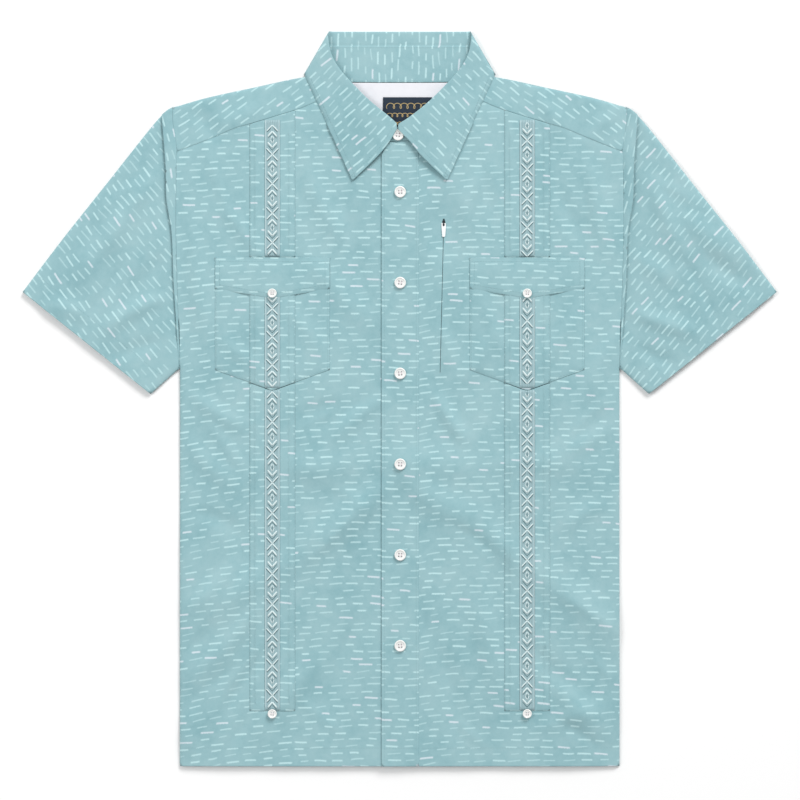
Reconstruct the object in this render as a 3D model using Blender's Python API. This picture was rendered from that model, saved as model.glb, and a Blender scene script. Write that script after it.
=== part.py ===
"""A short-sleeved guayabera shirt, fastened and laid out flat on its back.

+Z is up, the collar points to +Y and the wearer's left is +X. The origin is on the surface that
the shirt lies on, in the middle of its outline. Sizes are in millimetres until stack() or one of
the turned pieces is built. Heights called "up" are measured from the hem, and distances called
"out" from the centre line.

The cloth lies in layers. Layer n starts n * PITCH above the surface, so that two pieces that lie
on each other are GAP apart, as are two pieces that meet at a seam.
"""

import itertools
import math

import bpy
import bmesh
from mathutils import Matrix, Vector
from mathutils.geometry import delaunay_2d_cdt

MM = 0.001
SAME_POINT = 0.02  # plan points nearer than this are one

# Cloth and how it is layered
CLOTH = 1.0
GAP = 0.3
PITCH = CLOTH + GAP
TURN = 1.6  # width of the turned edge where a piece folds over to another layer
SEAM = 3.0  # width of the turned-down edge where a piece is sewn to a lower one

# Body
LENGTH = 800.0  # hem to the top of the folded collar
HALF_CHEST = 239.5
BACK_YOKE_UP = 641.0
NECK_SEAM_UP = 744.2
NECK_SEAM_FLAT = 50.0  # the back neck seam runs straight this far each side of the centre
NECK_SEAM_BEND = (60.0, 745.8)

# Armhole: a row for each height, with the seam and the fold of the sleeve just outside it
ARMHOLE = [
    {"up": 717.0, "seam": 247.1, "fold": 259.6},
    {"up": 701.7, "seam": 247.1, "fold": 258.6},
    {"up": 675.5, "seam": 243.2, "fold": 256.6},
    {"up": 650.0, "seam": 243.4, "fold": 254.8},
    {"up": 617.0, "seam": 243.8, "fold": 254.0},
    {"up": 581.0, "seam": 243.8, "fold": 248.4},
    {"up": 530.0, "seam": 242.6, "fold": 246.4},
    {"up": 486.0, "seam": 241.2, "fold": 243.6},
]
UNDERARM = (HALF_CHEST, 433.6)

# Sleeve: its top fold from the shoulder to the cuff, and the two ends of the cuff
SLEEVE_TOP = [
    {"up": 715.6, "out": 251.0},
    {"up": 709.4, "out": 258.6},
    {"up": 693.0, "out": 272.6},
    {"up": 638.5, "out": 315.6},
    {"up": 573.0, "out": 367.6},
]
CUFF_TOP = (410.6, 516.4)
CUFF_BOTTOM = (271.4, 405.3)

# Neck and shoulder
NECK_POINT = (98.0, 751.2)
SHOULDER = [
    {"up": 737.0, "out": 168.0},
    {"up": 727.0, "out": 213.0},
]
FRONT_NECK = [
    {"up": 734.4, "out": 86.0},
    {"up": 714.8, "out": 70.5},
    {"up": 695.2, "out": 48.7},
    {"up": 683.4, "out": 23.7},
    {"up": 679.2, "out": 0.0},
]
YOKE_SEAM = [
    {"up": 669.0, "out": 243.3},
    {"up": 681.0, "out": 211.6},
    {"up": 694.1, "out": 179.9},
    {"up": 700.0, "out": 159.9},
    {"up": 714.8, "out": 111.9},
    {"up": 728.0, "out": 81.0},
]

# Collar
ROLL_HALF = 77.1
CREASE_FOOT = (104.3, 753.0)
CREASE_TURN_SHARE = 0.85  # how much of the side crease turns over, from its foot
ROLL_TURN_INSET = 1.0
STAND_UP = 784.6  # seam between stand and leaf at the back
STAND_INSET = 4.0  # the stand folds this far inside the leaf's side crease
STAND_IN_FROM_ROLL = 1.0
STAND_BELOW_ROLL = 4.0
FALL = [
    {"up": 748.5, "out": 60.0},
    {"up": 747.2, "out": 0.0},
]
ROLL = [
    {"up": 794.4, "out": 78.0},
    {"up": 776.9, "out": 74.9},
    {"up": 761.7, "out": 67.3},
    {"up": 744.8, "out": 53.1},
    {"up": 724.0, "out": 32.4},
    {"up": 707.2, "out": 11.7},
]
COLLAR_POINT = (51.4, 637.0)
LEAF_FRONT = [
    {"up": 664.1, "out": 23.4},
    {"up": 679.0, "out": 11.4},
]
# The front ends of the stand and of the leaf, the wearer's left over the right
STAND_END_OVER = [
    {"up": 695.5, "out": -2.0},
    {"up": 693.0, "out": -12.0},
    {"up": 680.0, "out": -13.0},
]
STAND_END_UNDER = [
    {"up": 706.0, "out": 14.5},
    {"up": 697.5, "out": 14.5},
    {"up": 681.5, "out": 14.5},
]
LEAF_END_OVER = [
    {"up": 698.9, "out": -1.4},
    {"up": 693.3, "out": -2.3},
]
LEAF_END_UNDER = [
    {"up": 699.6, "out": 3.4},
    {"up": 693.3, "out": 2.9},
]
LEAF_RISE = 2.8  # the roll of the leaf stands this much higher than its outer edge
RISE_OVER = 34.0

# Front edge, buttons
PLACKET_RIGHT = -19.8
PLACKET_LEFT = 21.0
PLACKET_CUT = (7.0, 13.2)  # how much of its upper corner is cut away, out and up
FRONT_EDGES = (13.0, 14.5)  # right front ends and left front begins here, under the placket
FRONT_PAST_PLACKET = 2.0
BUTTON_FIRST_UP = 625.0
BUTTON_PITCH = 98.7
FRONT_BUTTONS = 6
FRONT_BUTTON_OUT = 0.5
COLLAR_BUTTON = (-1.9, 687.1)
BUTTON_RADIUS = 6.35
BUTTON_THICK = 2.4
# The button's turned outline from its underside, over the rim, to the floor of its dish
BUTTON_PROFILE = [
    {"inset": 1.2, "high": 0.0},
    {"inset": 0.0, "high": 1.1},
    {"inset": 0.6, "high": BUTTON_THICK},
    {"inset": 1.7, "high": BUTTON_THICK - 0.1},
    {"inset": 2.6, "high": BUTTON_THICK - 0.8},
]
BUTTON_SIDES = 24
SMALL_BUTTON_SCALE = 0.79
BUTTON_HOLE = 0.85
BUTTON_HOLE_SPACING = 1.45
DRILL_SIDES = 8
DRILL_LENGTH = 6.0

# Pockets, flaps and the tucked bands, which share one centre line each side
BAND_CENTRE = 138.6
BAND_HALF = 24.9
TUCK_HALF = 18.4
TUCK_WIDTH = 1.6
TUCK_HIGH = 0.6
BAND_FOOT = 60.3
BAND_ABOVE_FLAP = 1.0
BAND_UNDER_FLAP = 10.0
POCKET_HALF = 62.4
POCKET_MOUTH = 539.0
POCKET_SIDE_FOOT = 431.4
POCKET_TIP = 409.0
FLAP_TOP = 552.4
FLAP_SIDE_FOOT = 519.7
FLAP_TIP = 508.8
FLAP_BUTTON_UP = 514.8
FOOT_BUTTON_UP = 57.6

# Zip of the hidden pocket in the left front
ZIP_TOP = (48.0, 596.0)
ZIP_FOOT = (43.9, 429.0)
SLIT_HALF = 1.6
TAPE_HALF = 7.0
TAPE_PAST = 4.0
PULL_AXIS_UP = 590.7
PULL_BAR = 0.5  # half thickness of the bar that the tab turns on
# The tab's edge on one side, with its distance from the axis along the zip
PULL_EDGE = [
    {"up": PULL_BAR, "out": 2.45},
    {"up": -3.6, "out": 2.45},
    {"up": -13.7, "out": 1.7},
    {"up": -14.5, "out": 1.1},
]
PULL_EYE_HALF = 0.9
PULL_EYE_FOOT = -2.7
BRIDGE_HALF = 0.6
BRIDGE_INNER = 0.9
BRIDGE_OUTER = 1.7
SLIDER_HALF = 1.25
SLIDER_ENDS = (-4.0, 3.2)

# Label inside the neck
LABEL_OUT = (-18.2, 35.2)
LABEL_UP = (694.0, 728.4)

AQUA = (0.33, 0.54, 0.57, 1.0)
WHITE = (0.86, 0.86, 0.88, 1.0)
NAVY = (0.012, 0.032, 0.07, 1.0)
METAL = (0.08, 0.08, 0.09, 1.0)


def layer(number):
    """The bottom and the top of a layer."""
    return number * PITCH, number * PITCH + CLOTH


def line(rows, column="out"):
    """The points of a table's rows, as (out, up)."""
    return [(row[column], row["up"]) for row in rows]


def other_side(points):
    """The same outline on the other side of the centre line."""
    return [(-out, up) for out, up in reversed(points)]


def shifted(points, out=0.0, up=0.0):
    return [(point[0] + out, point[1] + up) for point in points]


def anticlockwise(points):
    ends = zip(points, points[1:] + points[:1])
    area = sum(start[0] * end[1] - end[0] * start[1] for start, end in ends)
    return points if area > 0 else points[::-1]


def box(out_0, out_1, up_0, up_1):
    return [(out_0, up_0), (out_1, up_0), (out_1, up_1), (out_0, up_1)]


def ribbon(points, width):
    """An outline of the given width to the left of a line, as seen when going along it."""
    inner = []
    for index, (out, up) in enumerate(points):
        before = Vector(points[max(index - 1, 0)])
        after = Vector(points[min(index + 1, len(points) - 1)])
        along = (after - before).normalized()
        inner.append((out - along.y * width, up + along.x * width))
    return list(points) + inner[::-1]


def material(name, colour, roughness, metallic=0.0):
    made = bpy.data.materials.new(name)
    made.use_nodes = True
    shader = made.node_tree.nodes["Principled BSDF"]
    shader.inputs["Base Color"].default_value = colour
    shader.inputs["Roughness"].default_value = roughness
    shader.inputs["Metallic"].default_value = metallic
    return made


def add(name, mesh, colour, roughness=0.85, metallic=0.0):
    piece = bpy.data.objects.new(name, mesh)
    bpy.context.scene.collection.objects.link(piece)
    mesh.materials.clear()
    mesh.materials.append(material(name, colour, roughness, metallic))
    return piece


def stack(name, slabs, colour=AQUA, raised=None, roughness=0.85):
    """One closed body made of slabs that lie on each other.

    Each slab is (bottom, top, outlines), and fills its outlines between those heights. Where
    slabs touch they are one body, so a fold is a plate, a narrow turn and another plate.
    raised(out, up, high) moves points to another height.
    """
    corners, outlines, owners = [], [], []
    for number, (_, _, shapes) in enumerate(slabs):
        for shape in shapes:
            outlines.append(list(range(len(corners), len(corners) + len(shape))))
            corners.extend(Vector(point) for point in anticlockwise(shape))
            owners.append(number)
    plan, _, cells, _, _, sources = delaunay_2d_cdt(corners, [], outlines, 1, SAME_POINT)
    filled = [{owners[source] for source in sources[index]} for index in range(len(cells))]
    levels = sorted({level for slab in slabs for level in slab[:2]})
    spans = [
        {number for number, slab in enumerate(slabs) if slab[0] <= low and slab[1] >= high}
        for low, high in zip(levels, levels[1:])
    ]
    mesh = bmesh.new()
    made = {}

    def point(index, level):
        if (index, level) not in made:
            out, up = plan[index]
            high = levels[level]
            if raised:
                high = raised(out, up, high)
            made[index, level] = mesh.verts.new(
                (out * MM, (up - LENGTH / 2) * MM, high * MM)
            )
        return made[index, level]

    neighbours = {}
    for number, cell in enumerate(cells):
        for start, end in zip(cell, cell[1:] + cell[:1]):
            neighbours[start, end] = number
    for number, cell in enumerate(cells):
        solid = [bool(filled[number] & span) for span in spans]
        for level in range(len(levels)):
            below = level > 0 and solid[level - 1]
            above = level < len(spans) and solid[level]
            if below and not above:
                mesh.faces.new([point(index, level) for index in cell])
            if above and not below:
                mesh.faces.new([point(index, level) for index in reversed(cell)])
        for start, end in zip(cell, cell[1:] + cell[:1]):
            beyond = neighbours.get((end, start))
            for level, full in enumerate(solid):
                if full and not (beyond is not None and filled[beyond] & spans[level]):
                    lower = [point(start, level), point(end, level)]
                    upper = [point(end, level + 1), point(start, level + 1)]
                    mesh.faces.new(lower + upper)
    data = bpy.data.meshes.new(name)
    bmesh.ops.triangulate(mesh, faces=mesh.faces)
    mesh.to_mesh(data)
    mesh.free()
    return add(name, data, colour, roughness)


def armhole(low, high):
    """The armhole's seam between two heights, from low to high, on the wearer's left."""
    rows = [UNDERARM] + line(ARMHOLE, "seam")[::-1]
    cut = [(across(rows, low), low)]
    cut += [row for row in rows if low < row[1] < high]
    return cut + [(across(rows, high), high)]


def across(rows, up):
    """How far out a line is at a height. The rows go upwards."""
    for (out_0, up_0), (out_1, up_1) in zip(rows, rows[1:]):
        if up_0 <= up <= up_1:
            return out_0 + (out_1 - out_0) * (up - up_0) / (up_1 - up_0)
    return rows[0][0] if up < rows[0][1] else rows[-1][0]


def height_at(rows, out):
    """How high a line is at a distance out. The rows go inwards."""
    for (out_0, up_0), (out_1, up_1) in zip(rows, rows[1:]):
        if out_1 <= out <= out_0:
            return up_0 + (up_1 - up_0) * (out_0 - out) / (out_0 - out_1)
    return rows[-1][1]


def both(outline):
    return [outline, other_side(outline)]


# ---------------------------------------------------------------- back, yoke and lining
def back():
    edge = [(HALF_CHEST, 0.0)] + armhole(UNDERARM[1], BACK_YOKE_UP - GAP)
    stack("back_panel", [(*layer(0), [edge + other_side(edge)])])


def shoulder_line():
    """The shoulder's fold from the neck to the sleeve."""
    return [NECK_POINT] + line(SHOULDER) + [(ARMHOLE[0]["seam"], ARMHOLE[0]["up"])]


def back_neck(shift=0.0):
    """The back neck seam, from the wearer's left to the right."""
    half = [NECK_POINT, NECK_SEAM_BEND, (NECK_SEAM_FLAT, NECK_SEAM_UP)]
    return shifted(half + other_side(half), up=shift)


def yoke():
    """It lies under the shoulders, turns over them and comes down to the seam in front."""
    shoulder = shoulder_line()
    side = armhole(BACK_YOKE_UP, ARMHOLE[0]["up"])
    under = side + shoulder[::-1][1:]
    under = under[:-1] + back_neck() + other_side(under[:-1])
    front = armhole(YOKE_SEAM[0]["up"], ARMHOLE[0]["up"]) + shoulder[::-1][1:]
    front += line(FRONT_NECK)[:1] + line(YOKE_SEAM)[::-1][:-1]
    turn = ribbon(shoulder[::-1], TURN)
    stack(
        "back_yoke",
        [
            (*layer(0), [under]),
            (layer(0)[1], layer(2)[0], both(turn)),
            (*layer(2), both(front)),
        ],
    )
    inside_turn = ribbon(shoulder[::-1], TURN + 2 * GAP)[len(shoulder):][::-1]
    half = side[:-1] + inside_turn[:-1]
    lining = half + back_neck()[1:-1] + other_side(half)
    stack("yoke_lining", [(*layer(1), [lining])], WHITE)
    stack("neck_label", [(*layer(2), [box(*LABEL_OUT, *LABEL_UP)])], NAVY)


# ---------------------------------------------------------------- fronts, placket and zip
def front_outline(inner_edge, inner_top):
    """A front, on the wearer's left, from its edge under the placket to the side seam."""
    outline = [(inner_edge, 0.0), (HALF_CHEST, 0.0)]
    outline += armhole(UNDERARM[1], YOKE_SEAM[0]["up"] - GAP)
    outline += shifted(line(YOKE_SEAM)[1:], up=-GAP)
    outline += shifted(line(FRONT_NECK)[1:-1], up=SEAM)
    return outline + [(inner_edge, inner_top)]


def zip_line(up):
    """How far out the zip is at a height, because it leans a little."""
    share = (up - ZIP_FOOT[1]) / (ZIP_TOP[1] - ZIP_FOOT[1])
    return ZIP_FOOT[0] + (ZIP_TOP[0] - ZIP_FOOT[0]) * share


def strip(half, foot, top):
    """A straight strip along the zip."""
    low, high = zip_line(foot), zip_line(top)
    return [(low - half, foot), (low + half, foot), (high + half, top), (high - half, top)]


def fronts():
    """Each is turned down along its side seam, where it meets the back."""
    top = FRONT_NECK[-1]["up"] + FRONT_PAST_PLACKET
    seam = box(HALF_CHEST - SEAM, HALF_CHEST, 0.0, UNDERARM[1])
    right = front_outline(-FRONT_EDGES[0], top)
    left = front_outline(FRONT_EDGES[1], top)
    slit = strip(SLIT_HALF, ZIP_FOOT[1], ZIP_TOP[1])
    turned = (layer(1)[0], layer(2)[0])
    stack("front_right", [(*turned, [other_side(seam)]), (*layer(2), [other_side(right)])])
    stack("front_left", [(*turned, [seam]), (*layer(2), split_by_slit(left, slit))])
    tape = strip(TAPE_HALF, ZIP_FOOT[1] - TAPE_PAST, ZIP_TOP[1] + TAPE_PAST)
    stack("zip_tape", [(*layer(1), [tape])])


def split_by_slit(outline, slit):
    """Two outlines that meet above and below a slit, because an outline has no holes."""
    foot_left, foot_right, top_right, top_left = slit
    hem = (foot_left[0], 0.0)
    neck = (top_left[0], height_at(outline, top_left[0]))
    inner = [point for point in outline if point[0] < neck[0]]
    outer = [point for point in outline if point[0] > neck[0]]
    towards_placket = [inner[0], hem, foot_left, top_left, neck] + inner[1:]
    return [
        towards_placket,
        [hem] + outer + [neck, top_left, top_right, foot_right, foot_left],
    ]


def placket():
    """It is sewn along the left front's edge, and its upper corner is cut off at a slant."""
    top = FRONT_NECK[-1]["up"]
    cut_out, cut_up = PLACKET_CUT
    outline = [(PLACKET_RIGHT, 0.0), (PLACKET_LEFT, 0.0), (PLACKET_LEFT, top + 2 * GAP)]
    outline += [(PLACKET_RIGHT + cut_out, top - GAP), (PLACKET_RIGHT, top - cut_up)]
    stack("placket", [(*layer(3), [outline])])


# ---------------------------------------------------------------- sleeves
def sleeves():
    """Each is one piece, folded along its top and sewn under the arm, open at both ends."""
    seam = shifted([UNDERARM] + line(ARMHOLE, "seam")[::-1], out=GAP)
    top_fold = line(SLEEVE_TOP) + [CUFF_TOP]
    outline = seam + top_fold + [CUFF_BOTTOM]
    top_turn = ribbon([CUFF_TOP] + line(SLEEVE_TOP)[::-1] + [seam[-1]], TURN)
    under_turn = ribbon([seam[0], CUFF_BOTTOM], TURN)
    fold = line(ARMHOLE, "fold")
    fold[0] = top_fold[1]
    pleat = seam + [top_fold[0]] + fold
    slabs = [
        (*layer(0), outline),
        (layer(0)[1], layer(2)[0], top_turn),
        (layer(0)[1], layer(2)[0], under_turn),
        (*layer(2), outline),
        (layer(2)[1], layer(2)[1] + CLOTH, pleat),
    ]
    left = [(low, high, [shape]) for low, high, shape in slabs]
    right = [(low, high, [other_side(shape)]) for low, high, shape in slabs]
    stack("sleeve_left", left)
    stack("sleeve_right", right)


# ---------------------------------------------------------------- collar
def stand():
    """It lies flat behind the neck, folds at the sides and comes round to the button in front."""
    lean = (CREASE_FOOT[0] - ROLL_HALF) / (LENGTH - CREASE_FOOT[1])
    top = (ROLL_HALF + lean * (LENGTH - STAND_UP) - STAND_INSET, STAND_UP)
    foot = (NECK_POINT[0], NECK_POINT[1] + 2 * GAP)
    behind = [top] + other_side([top]) + back_neck(2 * GAP)[::-1]
    side_turn = ribbon([foot, top], TURN)
    neck = line(FRONT_NECK)[:-1]
    edge = shifted(line(ROLL)[1:], up=-STAND_BELOW_ROLL, out=-STAND_IN_FROM_ROLL)
    left = [top] + edge + line(STAND_END_OVER) + neck[::-1] + [foot]
    right = [top] + edge[:-1] + line(STAND_END_UNDER) + neck[::-1] + [foot]
    stack(
        "collar_stand",
        [
            (*layer(1), [behind]),
            (layer(1)[1], layer(3)[0], both(side_turn)),
            (*layer(3), [left, other_side(right)]),
        ],
    )


def leaf():
    """It falls behind the neck, turns at the side creases and lies on the fronts in two points."""
    crest = (ROLL_HALF, LENGTH)
    fall = [crest, CREASE_FOOT] + line(FALL)[:1]
    behind = fall + [(0.0, FALL[-1]["up"])] + other_side(fall)
    lean = (CREASE_FOOT[0] - ROLL_HALF) / (LENGTH - CREASE_FOOT[1])
    seam_up = STAND_UP + GAP
    inside = [(ROLL_HALF + lean * (LENGTH - seam_up), seam_up), crest]
    roll_end = ROLL_HALF - ROLL_TURN_INSET
    roll_turn = box(-roll_end, roll_end, LENGTH - TURN, LENGTH)
    near_crest = tuple(Vector(CREASE_FOOT).lerp(Vector(crest), CREASE_TURN_SHARE))
    crease_turn = ribbon([CREASE_FOOT, near_crest], TURN)
    wing = [CREASE_FOOT, crest] + line(ROLL)
    front = line(LEAF_FRONT)[::-1] + [COLLAR_POINT]
    over = wing + line(LEAF_END_OVER) + front
    under = wing + line(LEAF_END_UNDER) + front
    wing_low = layer(4)[0]

    edge = Vector(COLLAR_POINT) - Vector(CREASE_FOOT)
    inward = Vector((edge.y, -edge.x)).normalized()

    def rolled(out, up, high):
        if high < wing_low:
            return high
        depth = (Vector((abs(out), up)) - Vector(CREASE_FOOT)).dot(inward)
        return high + LEAF_RISE * min(max(depth / RISE_OVER, 0.0), 1.0)

    stack(
        "collar_leaf",
        [
            (*layer(0), [behind]),
            (layer(0)[1], layer(1)[0], [roll_turn]),
            (*layer(1), [inside + other_side(inside)]),
            (layer(0)[1], wing_low, both(crease_turn)),
            (wing_low, wing_low + CLOTH, [over, other_side(under)]),
        ],
        raised=rolled,
    )


# ---------------------------------------------------------------- pockets, flaps and bands
def pointed(half, side_foot, tip, top):
    """A pocket or flap: square at the top, with a shallow point at the foot."""
    sides = [(BAND_CENTRE + half, side_foot), (BAND_CENTRE + half, top)]
    return [(BAND_CENTRE, tip)] + sides + [
        (BAND_CENTRE - half, top),
        (BAND_CENTRE - half, side_foot),
    ]


def pointed_foot(half):
    """How high the pocket's point is at a distance from the band's centre."""
    return POCKET_TIP + (POCKET_SIDE_FOOT - POCKET_TIP) * half / POCKET_HALF


def band(name, number, side, head, foot, tuck_head=None):
    """A band with a raised tuck along each side. head and foot give its ends at a distance out."""
    def run(inner, outer, top):
        ends = [(inner, foot(inner)), (BAND_CENTRE, foot(BAND_CENTRE)), (outer, foot(outer))]
        ends += [(outer, top(outer)), (BAND_CENTRE, top(BAND_CENTRE)), (inner, top(inner))]
        return ends if inner < BAND_CENTRE < outer else [ends[0]] + ends[2:4] + [ends[5]]

    outline = run(BAND_CENTRE - BAND_HALF, BAND_CENTRE + BAND_HALF, head)
    tucks = []
    for middle in (BAND_CENTRE - TUCK_HALF, BAND_CENTRE + TUCK_HALF):
        tucks.append(run(middle - TUCK_WIDTH / 2, middle + TUCK_WIDTH / 2, tuck_head or head))
    if side < 0:
        outline = other_side(outline)
        tucks = [other_side(tuck) for tuck in tucks]
    low, high = layer(number)
    stack(name, [(low, high, [outline]), (high, high + TUCK_HIGH, tucks)])


def pockets_and_bands():
    for word, side in (("right", -1), ("left", 1)):
        pocket = pointed(POCKET_HALF, POCKET_SIDE_FOOT, POCKET_TIP, POCKET_MOUTH)
        flap = pointed(POCKET_HALF, FLAP_SIDE_FOOT, FLAP_TIP, FLAP_TOP)
        hinge = box(flap[4][0], flap[1][0], FLAP_TOP - SEAM, FLAP_TOP)
        if side < 0:
            pocket, flap, hinge = other_side(pocket), other_side(flap), other_side(hinge)
        stack("pocket_" + word, [(*layer(3), [pocket])])
        stack(
            "pocket_flap_" + word,
            [(layer(3)[0], layer(5)[0], [hinge]), (*layer(5), [flap])],
        )
        yoke_line = line(YOKE_SEAM)
        band(
            "upper_band_" + word, 3, side,
            lambda out: height_at(yoke_line, out) - GAP,
            lambda out: FLAP_TOP + BAND_ABOVE_FLAP,
        )
        band(
            "pocket_band_" + word, 4, side,
            lambda out: FLAP_SIDE_FOOT + BAND_UNDER_FLAP,
            lambda out: pointed_foot(abs(out - BAND_CENTRE)),
            lambda out: FLAP_TIP + GAP,
        )
        band(
            "lower_band_" + word, 3, side,
            lambda out: pointed_foot(abs(out - BAND_CENTRE)) - 2 * GAP,
            lambda out: BAND_FOOT,
        )


# ---------------------------------------------------------------- buttons
def button_mesh():
    """A turned disc with a raised rim and four holes for its thread."""
    disc = bmesh.new()
    rings = []
    for row in BUTTON_PROFILE:
        radius = BUTTON_RADIUS - row["inset"]
        ring = []
        for step in range(BUTTON_SIDES):
            angle = 2 * math.pi * step / BUTTON_SIDES
            point = (radius * math.cos(angle), radius * math.sin(angle), row["high"])
            ring.append(disc.verts.new(Vector(point) * MM))
        rings.append(ring)
    disc.faces.new(rings[0][::-1])
    disc.faces.new(rings[-1])
    for lower, upper in zip(rings, rings[1:]):
        for step in range(BUTTON_SIDES):
            after = (step + 1) % BUTTON_SIDES
            disc.faces.new([lower[step], lower[after], upper[after], upper[step]])
    data = bpy.data.meshes.new("button_blank")
    disc.to_mesh(data)
    disc.free()
    blank = bpy.data.objects.new("button_blank", data)
    bpy.context.scene.collection.objects.link(blank)

    drills = bmesh.new()
    for across_sign in (-1, 1):
        for along_sign in (-1, 1):
            made = bmesh.ops.create_cone(
                drills, cap_ends=True, segments=DRILL_SIDES, depth=DRILL_LENGTH * MM,
                radius1=BUTTON_HOLE * MM, radius2=BUTTON_HOLE * MM,
            )
            place = (
                across_sign * BUTTON_HOLE_SPACING,
                along_sign * BUTTON_HOLE_SPACING,
                BUTTON_THICK / 2,
            )
            bmesh.ops.translate(drills, verts=made["verts"], vec=Vector(place) * MM)
    data = bpy.data.meshes.new("button_drills")
    drills.to_mesh(data)
    drills.free()
    cutter = bpy.data.objects.new("button_drills", data)
    cutter.hide_render = True
    cutter.display_type = "WIRE"
    bpy.context.scene.collection.objects.link(cutter)

    cut = blank.modifiers.new("holes", "BOOLEAN")
    cut.operation = "DIFFERENCE"
    cut.object = cutter
    bpy.context.view_layer.update()
    drilled = blank.evaluated_get(bpy.context.evaluated_depsgraph_get())
    mesh = bpy.data.meshes.new_from_object(drilled)
    bpy.data.objects.remove(blank)
    bpy.data.objects.remove(cutter)
    return mesh


def buttons():
    """Buttons on the front edge, the collar, the flaps and the feet of the bands."""
    master = button_mesh()
    on_placket = layer(3)[1] + GAP
    on_flap = layer(5)[1] + GAP
    places = [{"name": "button_collar", "at": COLLAR_BUTTON, "high": on_placket, "size": 1.0}]
    for number in range(FRONT_BUTTONS):
        up = BUTTON_FIRST_UP - number * BUTTON_PITCH
        name = "button_front_%d" % (number + 1)
        places.append({"name": name, "at": (FRONT_BUTTON_OUT, up), "high": on_placket, "size": 1.0})
    small = SMALL_BUTTON_SCALE
    for word, side in (("right", -1), ("left", 1)):
        out = side * BAND_CENTRE
        places.append({
            "name": "button_flap_" + word, "at": (out, FLAP_BUTTON_UP), "high": on_flap,
            "size": small,
        })
        places.append({
            "name": "button_band_" + word, "at": (out, FOOT_BUTTON_UP),
            "high": on_placket + TUCK_HIGH, "size": small,
        })
    for place in places:
        mesh = master.copy()
        mesh.transform(Matrix.Diagonal((place["size"],) * 3 + (1.0,)))
        piece = add(place["name"], mesh, WHITE, 0.3)
        out, up = place["at"]
        piece.location = (out * MM, (up - LENGTH / 2) * MM, place["high"] * MM)
        mesh.shade_smooth()
        mesh.set_sharp_from_angle(angle=math.radians(35))


# ---------------------------------------------------------------- slider and pull tab
PULL_HIGH = layer(3)[0] + CLOTH / 2


def from_pull_axis(out, along, high):
    """A point given from the middle of the bar that the pull tab turns on."""
    turned_at = (zip_line(PULL_AXIS_UP), PULL_AXIS_UP - LENGTH / 2, PULL_HIGH)
    return (Vector(turned_at) + Vector((out, along, high))) * MM


def slider():
    """A deck along the zip with two posts on it and a bridge over them, all one piece."""
    mesh = bmesh.new()
    # A grid across the zip, along it and upwards, filled where the slider has metal
    across_cuts = [-SLIDER_HALF, -BRIDGE_HALF, BRIDGE_HALF, SLIDER_HALF]
    stations = [SLIDER_ENDS[0], -BRIDGE_OUTER, -BRIDGE_INNER]
    stations += [BRIDGE_INNER, BRIDGE_OUTER, SLIDER_ENDS[1]]
    heights = [layer(2)[0] - PULL_HIGH, -BRIDGE_INNER, BRIDGE_INNER, BRIDGE_OUTER]
    cells = [len(cuts) - 1 for cuts in (across_cuts, stations, heights)]

    def metal(i, j, k):
        if not all(0 <= number < count for number, count in zip((i, j, k), cells)):
            return False
        if k == 0:
            return True
        if i != 1 or j in (0, 4):
            return False
        return k == 2 or j in (1, 3)

    corners = {}

    def corner(i, j, k):
        if (i, j, k) not in corners:
            place = from_pull_axis(across_cuts[i], stations[j], heights[k])
            corners[i, j, k] = mesh.verts.new(place)
        return corners[i, j, k]

    faces = [
        ((-1, 0, 0), [(0, 0, 0), (0, 0, 1), (0, 1, 1), (0, 1, 0)]),
        ((1, 0, 0), [(1, 0, 0), (1, 1, 0), (1, 1, 1), (1, 0, 1)]),
        ((0, -1, 0), [(0, 0, 0), (1, 0, 0), (1, 0, 1), (0, 0, 1)]),
        ((0, 1, 0), [(0, 1, 0), (0, 1, 1), (1, 1, 1), (1, 1, 0)]),
        ((0, 0, -1), [(0, 0, 0), (0, 1, 0), (1, 1, 0), (1, 0, 0)]),
        ((0, 0, 1), [(0, 0, 1), (1, 0, 1), (1, 1, 1), (0, 1, 1)]),
    ]
    for i, j, k in itertools.product(*map(range, cells)):
        if not metal(i, j, k):
            continue
        for (di, dj, dk), quad in faces:
            if not metal(i + di, j + dj, k + dk):
                mesh.faces.new([corner(i + a, j + b, k + c) for a, b, c in quad])
    data = bpy.data.meshes.new("zip_slider")
    mesh.to_mesh(data)
    mesh.free()
    add("zip_slider", data, METAL, 0.4, 0.8)


def pull_tab():
    """A tapered plate whose top bar runs through the slider's bridge, above a square eye."""
    hinge = bpy.data.objects.new("zip_pull_hinge", None)
    hinge.location = from_pull_axis(0.0, 0.0, 0.0)
    bpy.context.scene.collection.objects.link(hinge)
    edge = line(PULL_EDGE)
    plate = anticlockwise(edge + other_side(edge))
    eye = box(-PULL_EYE_HALF, PULL_EYE_HALF, PULL_EYE_FOOT, -PULL_BAR)
    corners = [Vector(point) for point in plate + eye]
    outlines = [list(range(len(plate))), list(range(len(plate), len(corners)))]
    plan, _, cells, _, _, sources = delaunay_2d_cdt(corners, [], outlines, 1, SAME_POINT)
    cells = [cell for cell, source in zip(cells, sources) if list(source) == [0]]
    mesh = bmesh.new()
    bottom, top = [
        [mesh.verts.new(Vector((*point, high)) * MM) for point in plan]
        for high in (-CLOTH / 2, CLOTH / 2)
    ]
    sides = set()
    for cell in cells:
        mesh.faces.new([top[index] for index in cell])
        mesh.faces.new([bottom[index] for index in reversed(cell)])
        sides.update(zip(cell, cell[1:] + cell[:1]))
    for start, end in sorted(sides):
        if (end, start) not in sides:
            mesh.faces.new([bottom[start], bottom[end], top[end], top[start]])
    data = bpy.data.meshes.new("zip_pull_tab")
    mesh.to_mesh(data)
    mesh.free()
    tab = add("zip_pull_tab", data, WHITE, 0.4)
    tab.parent = hinge


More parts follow.
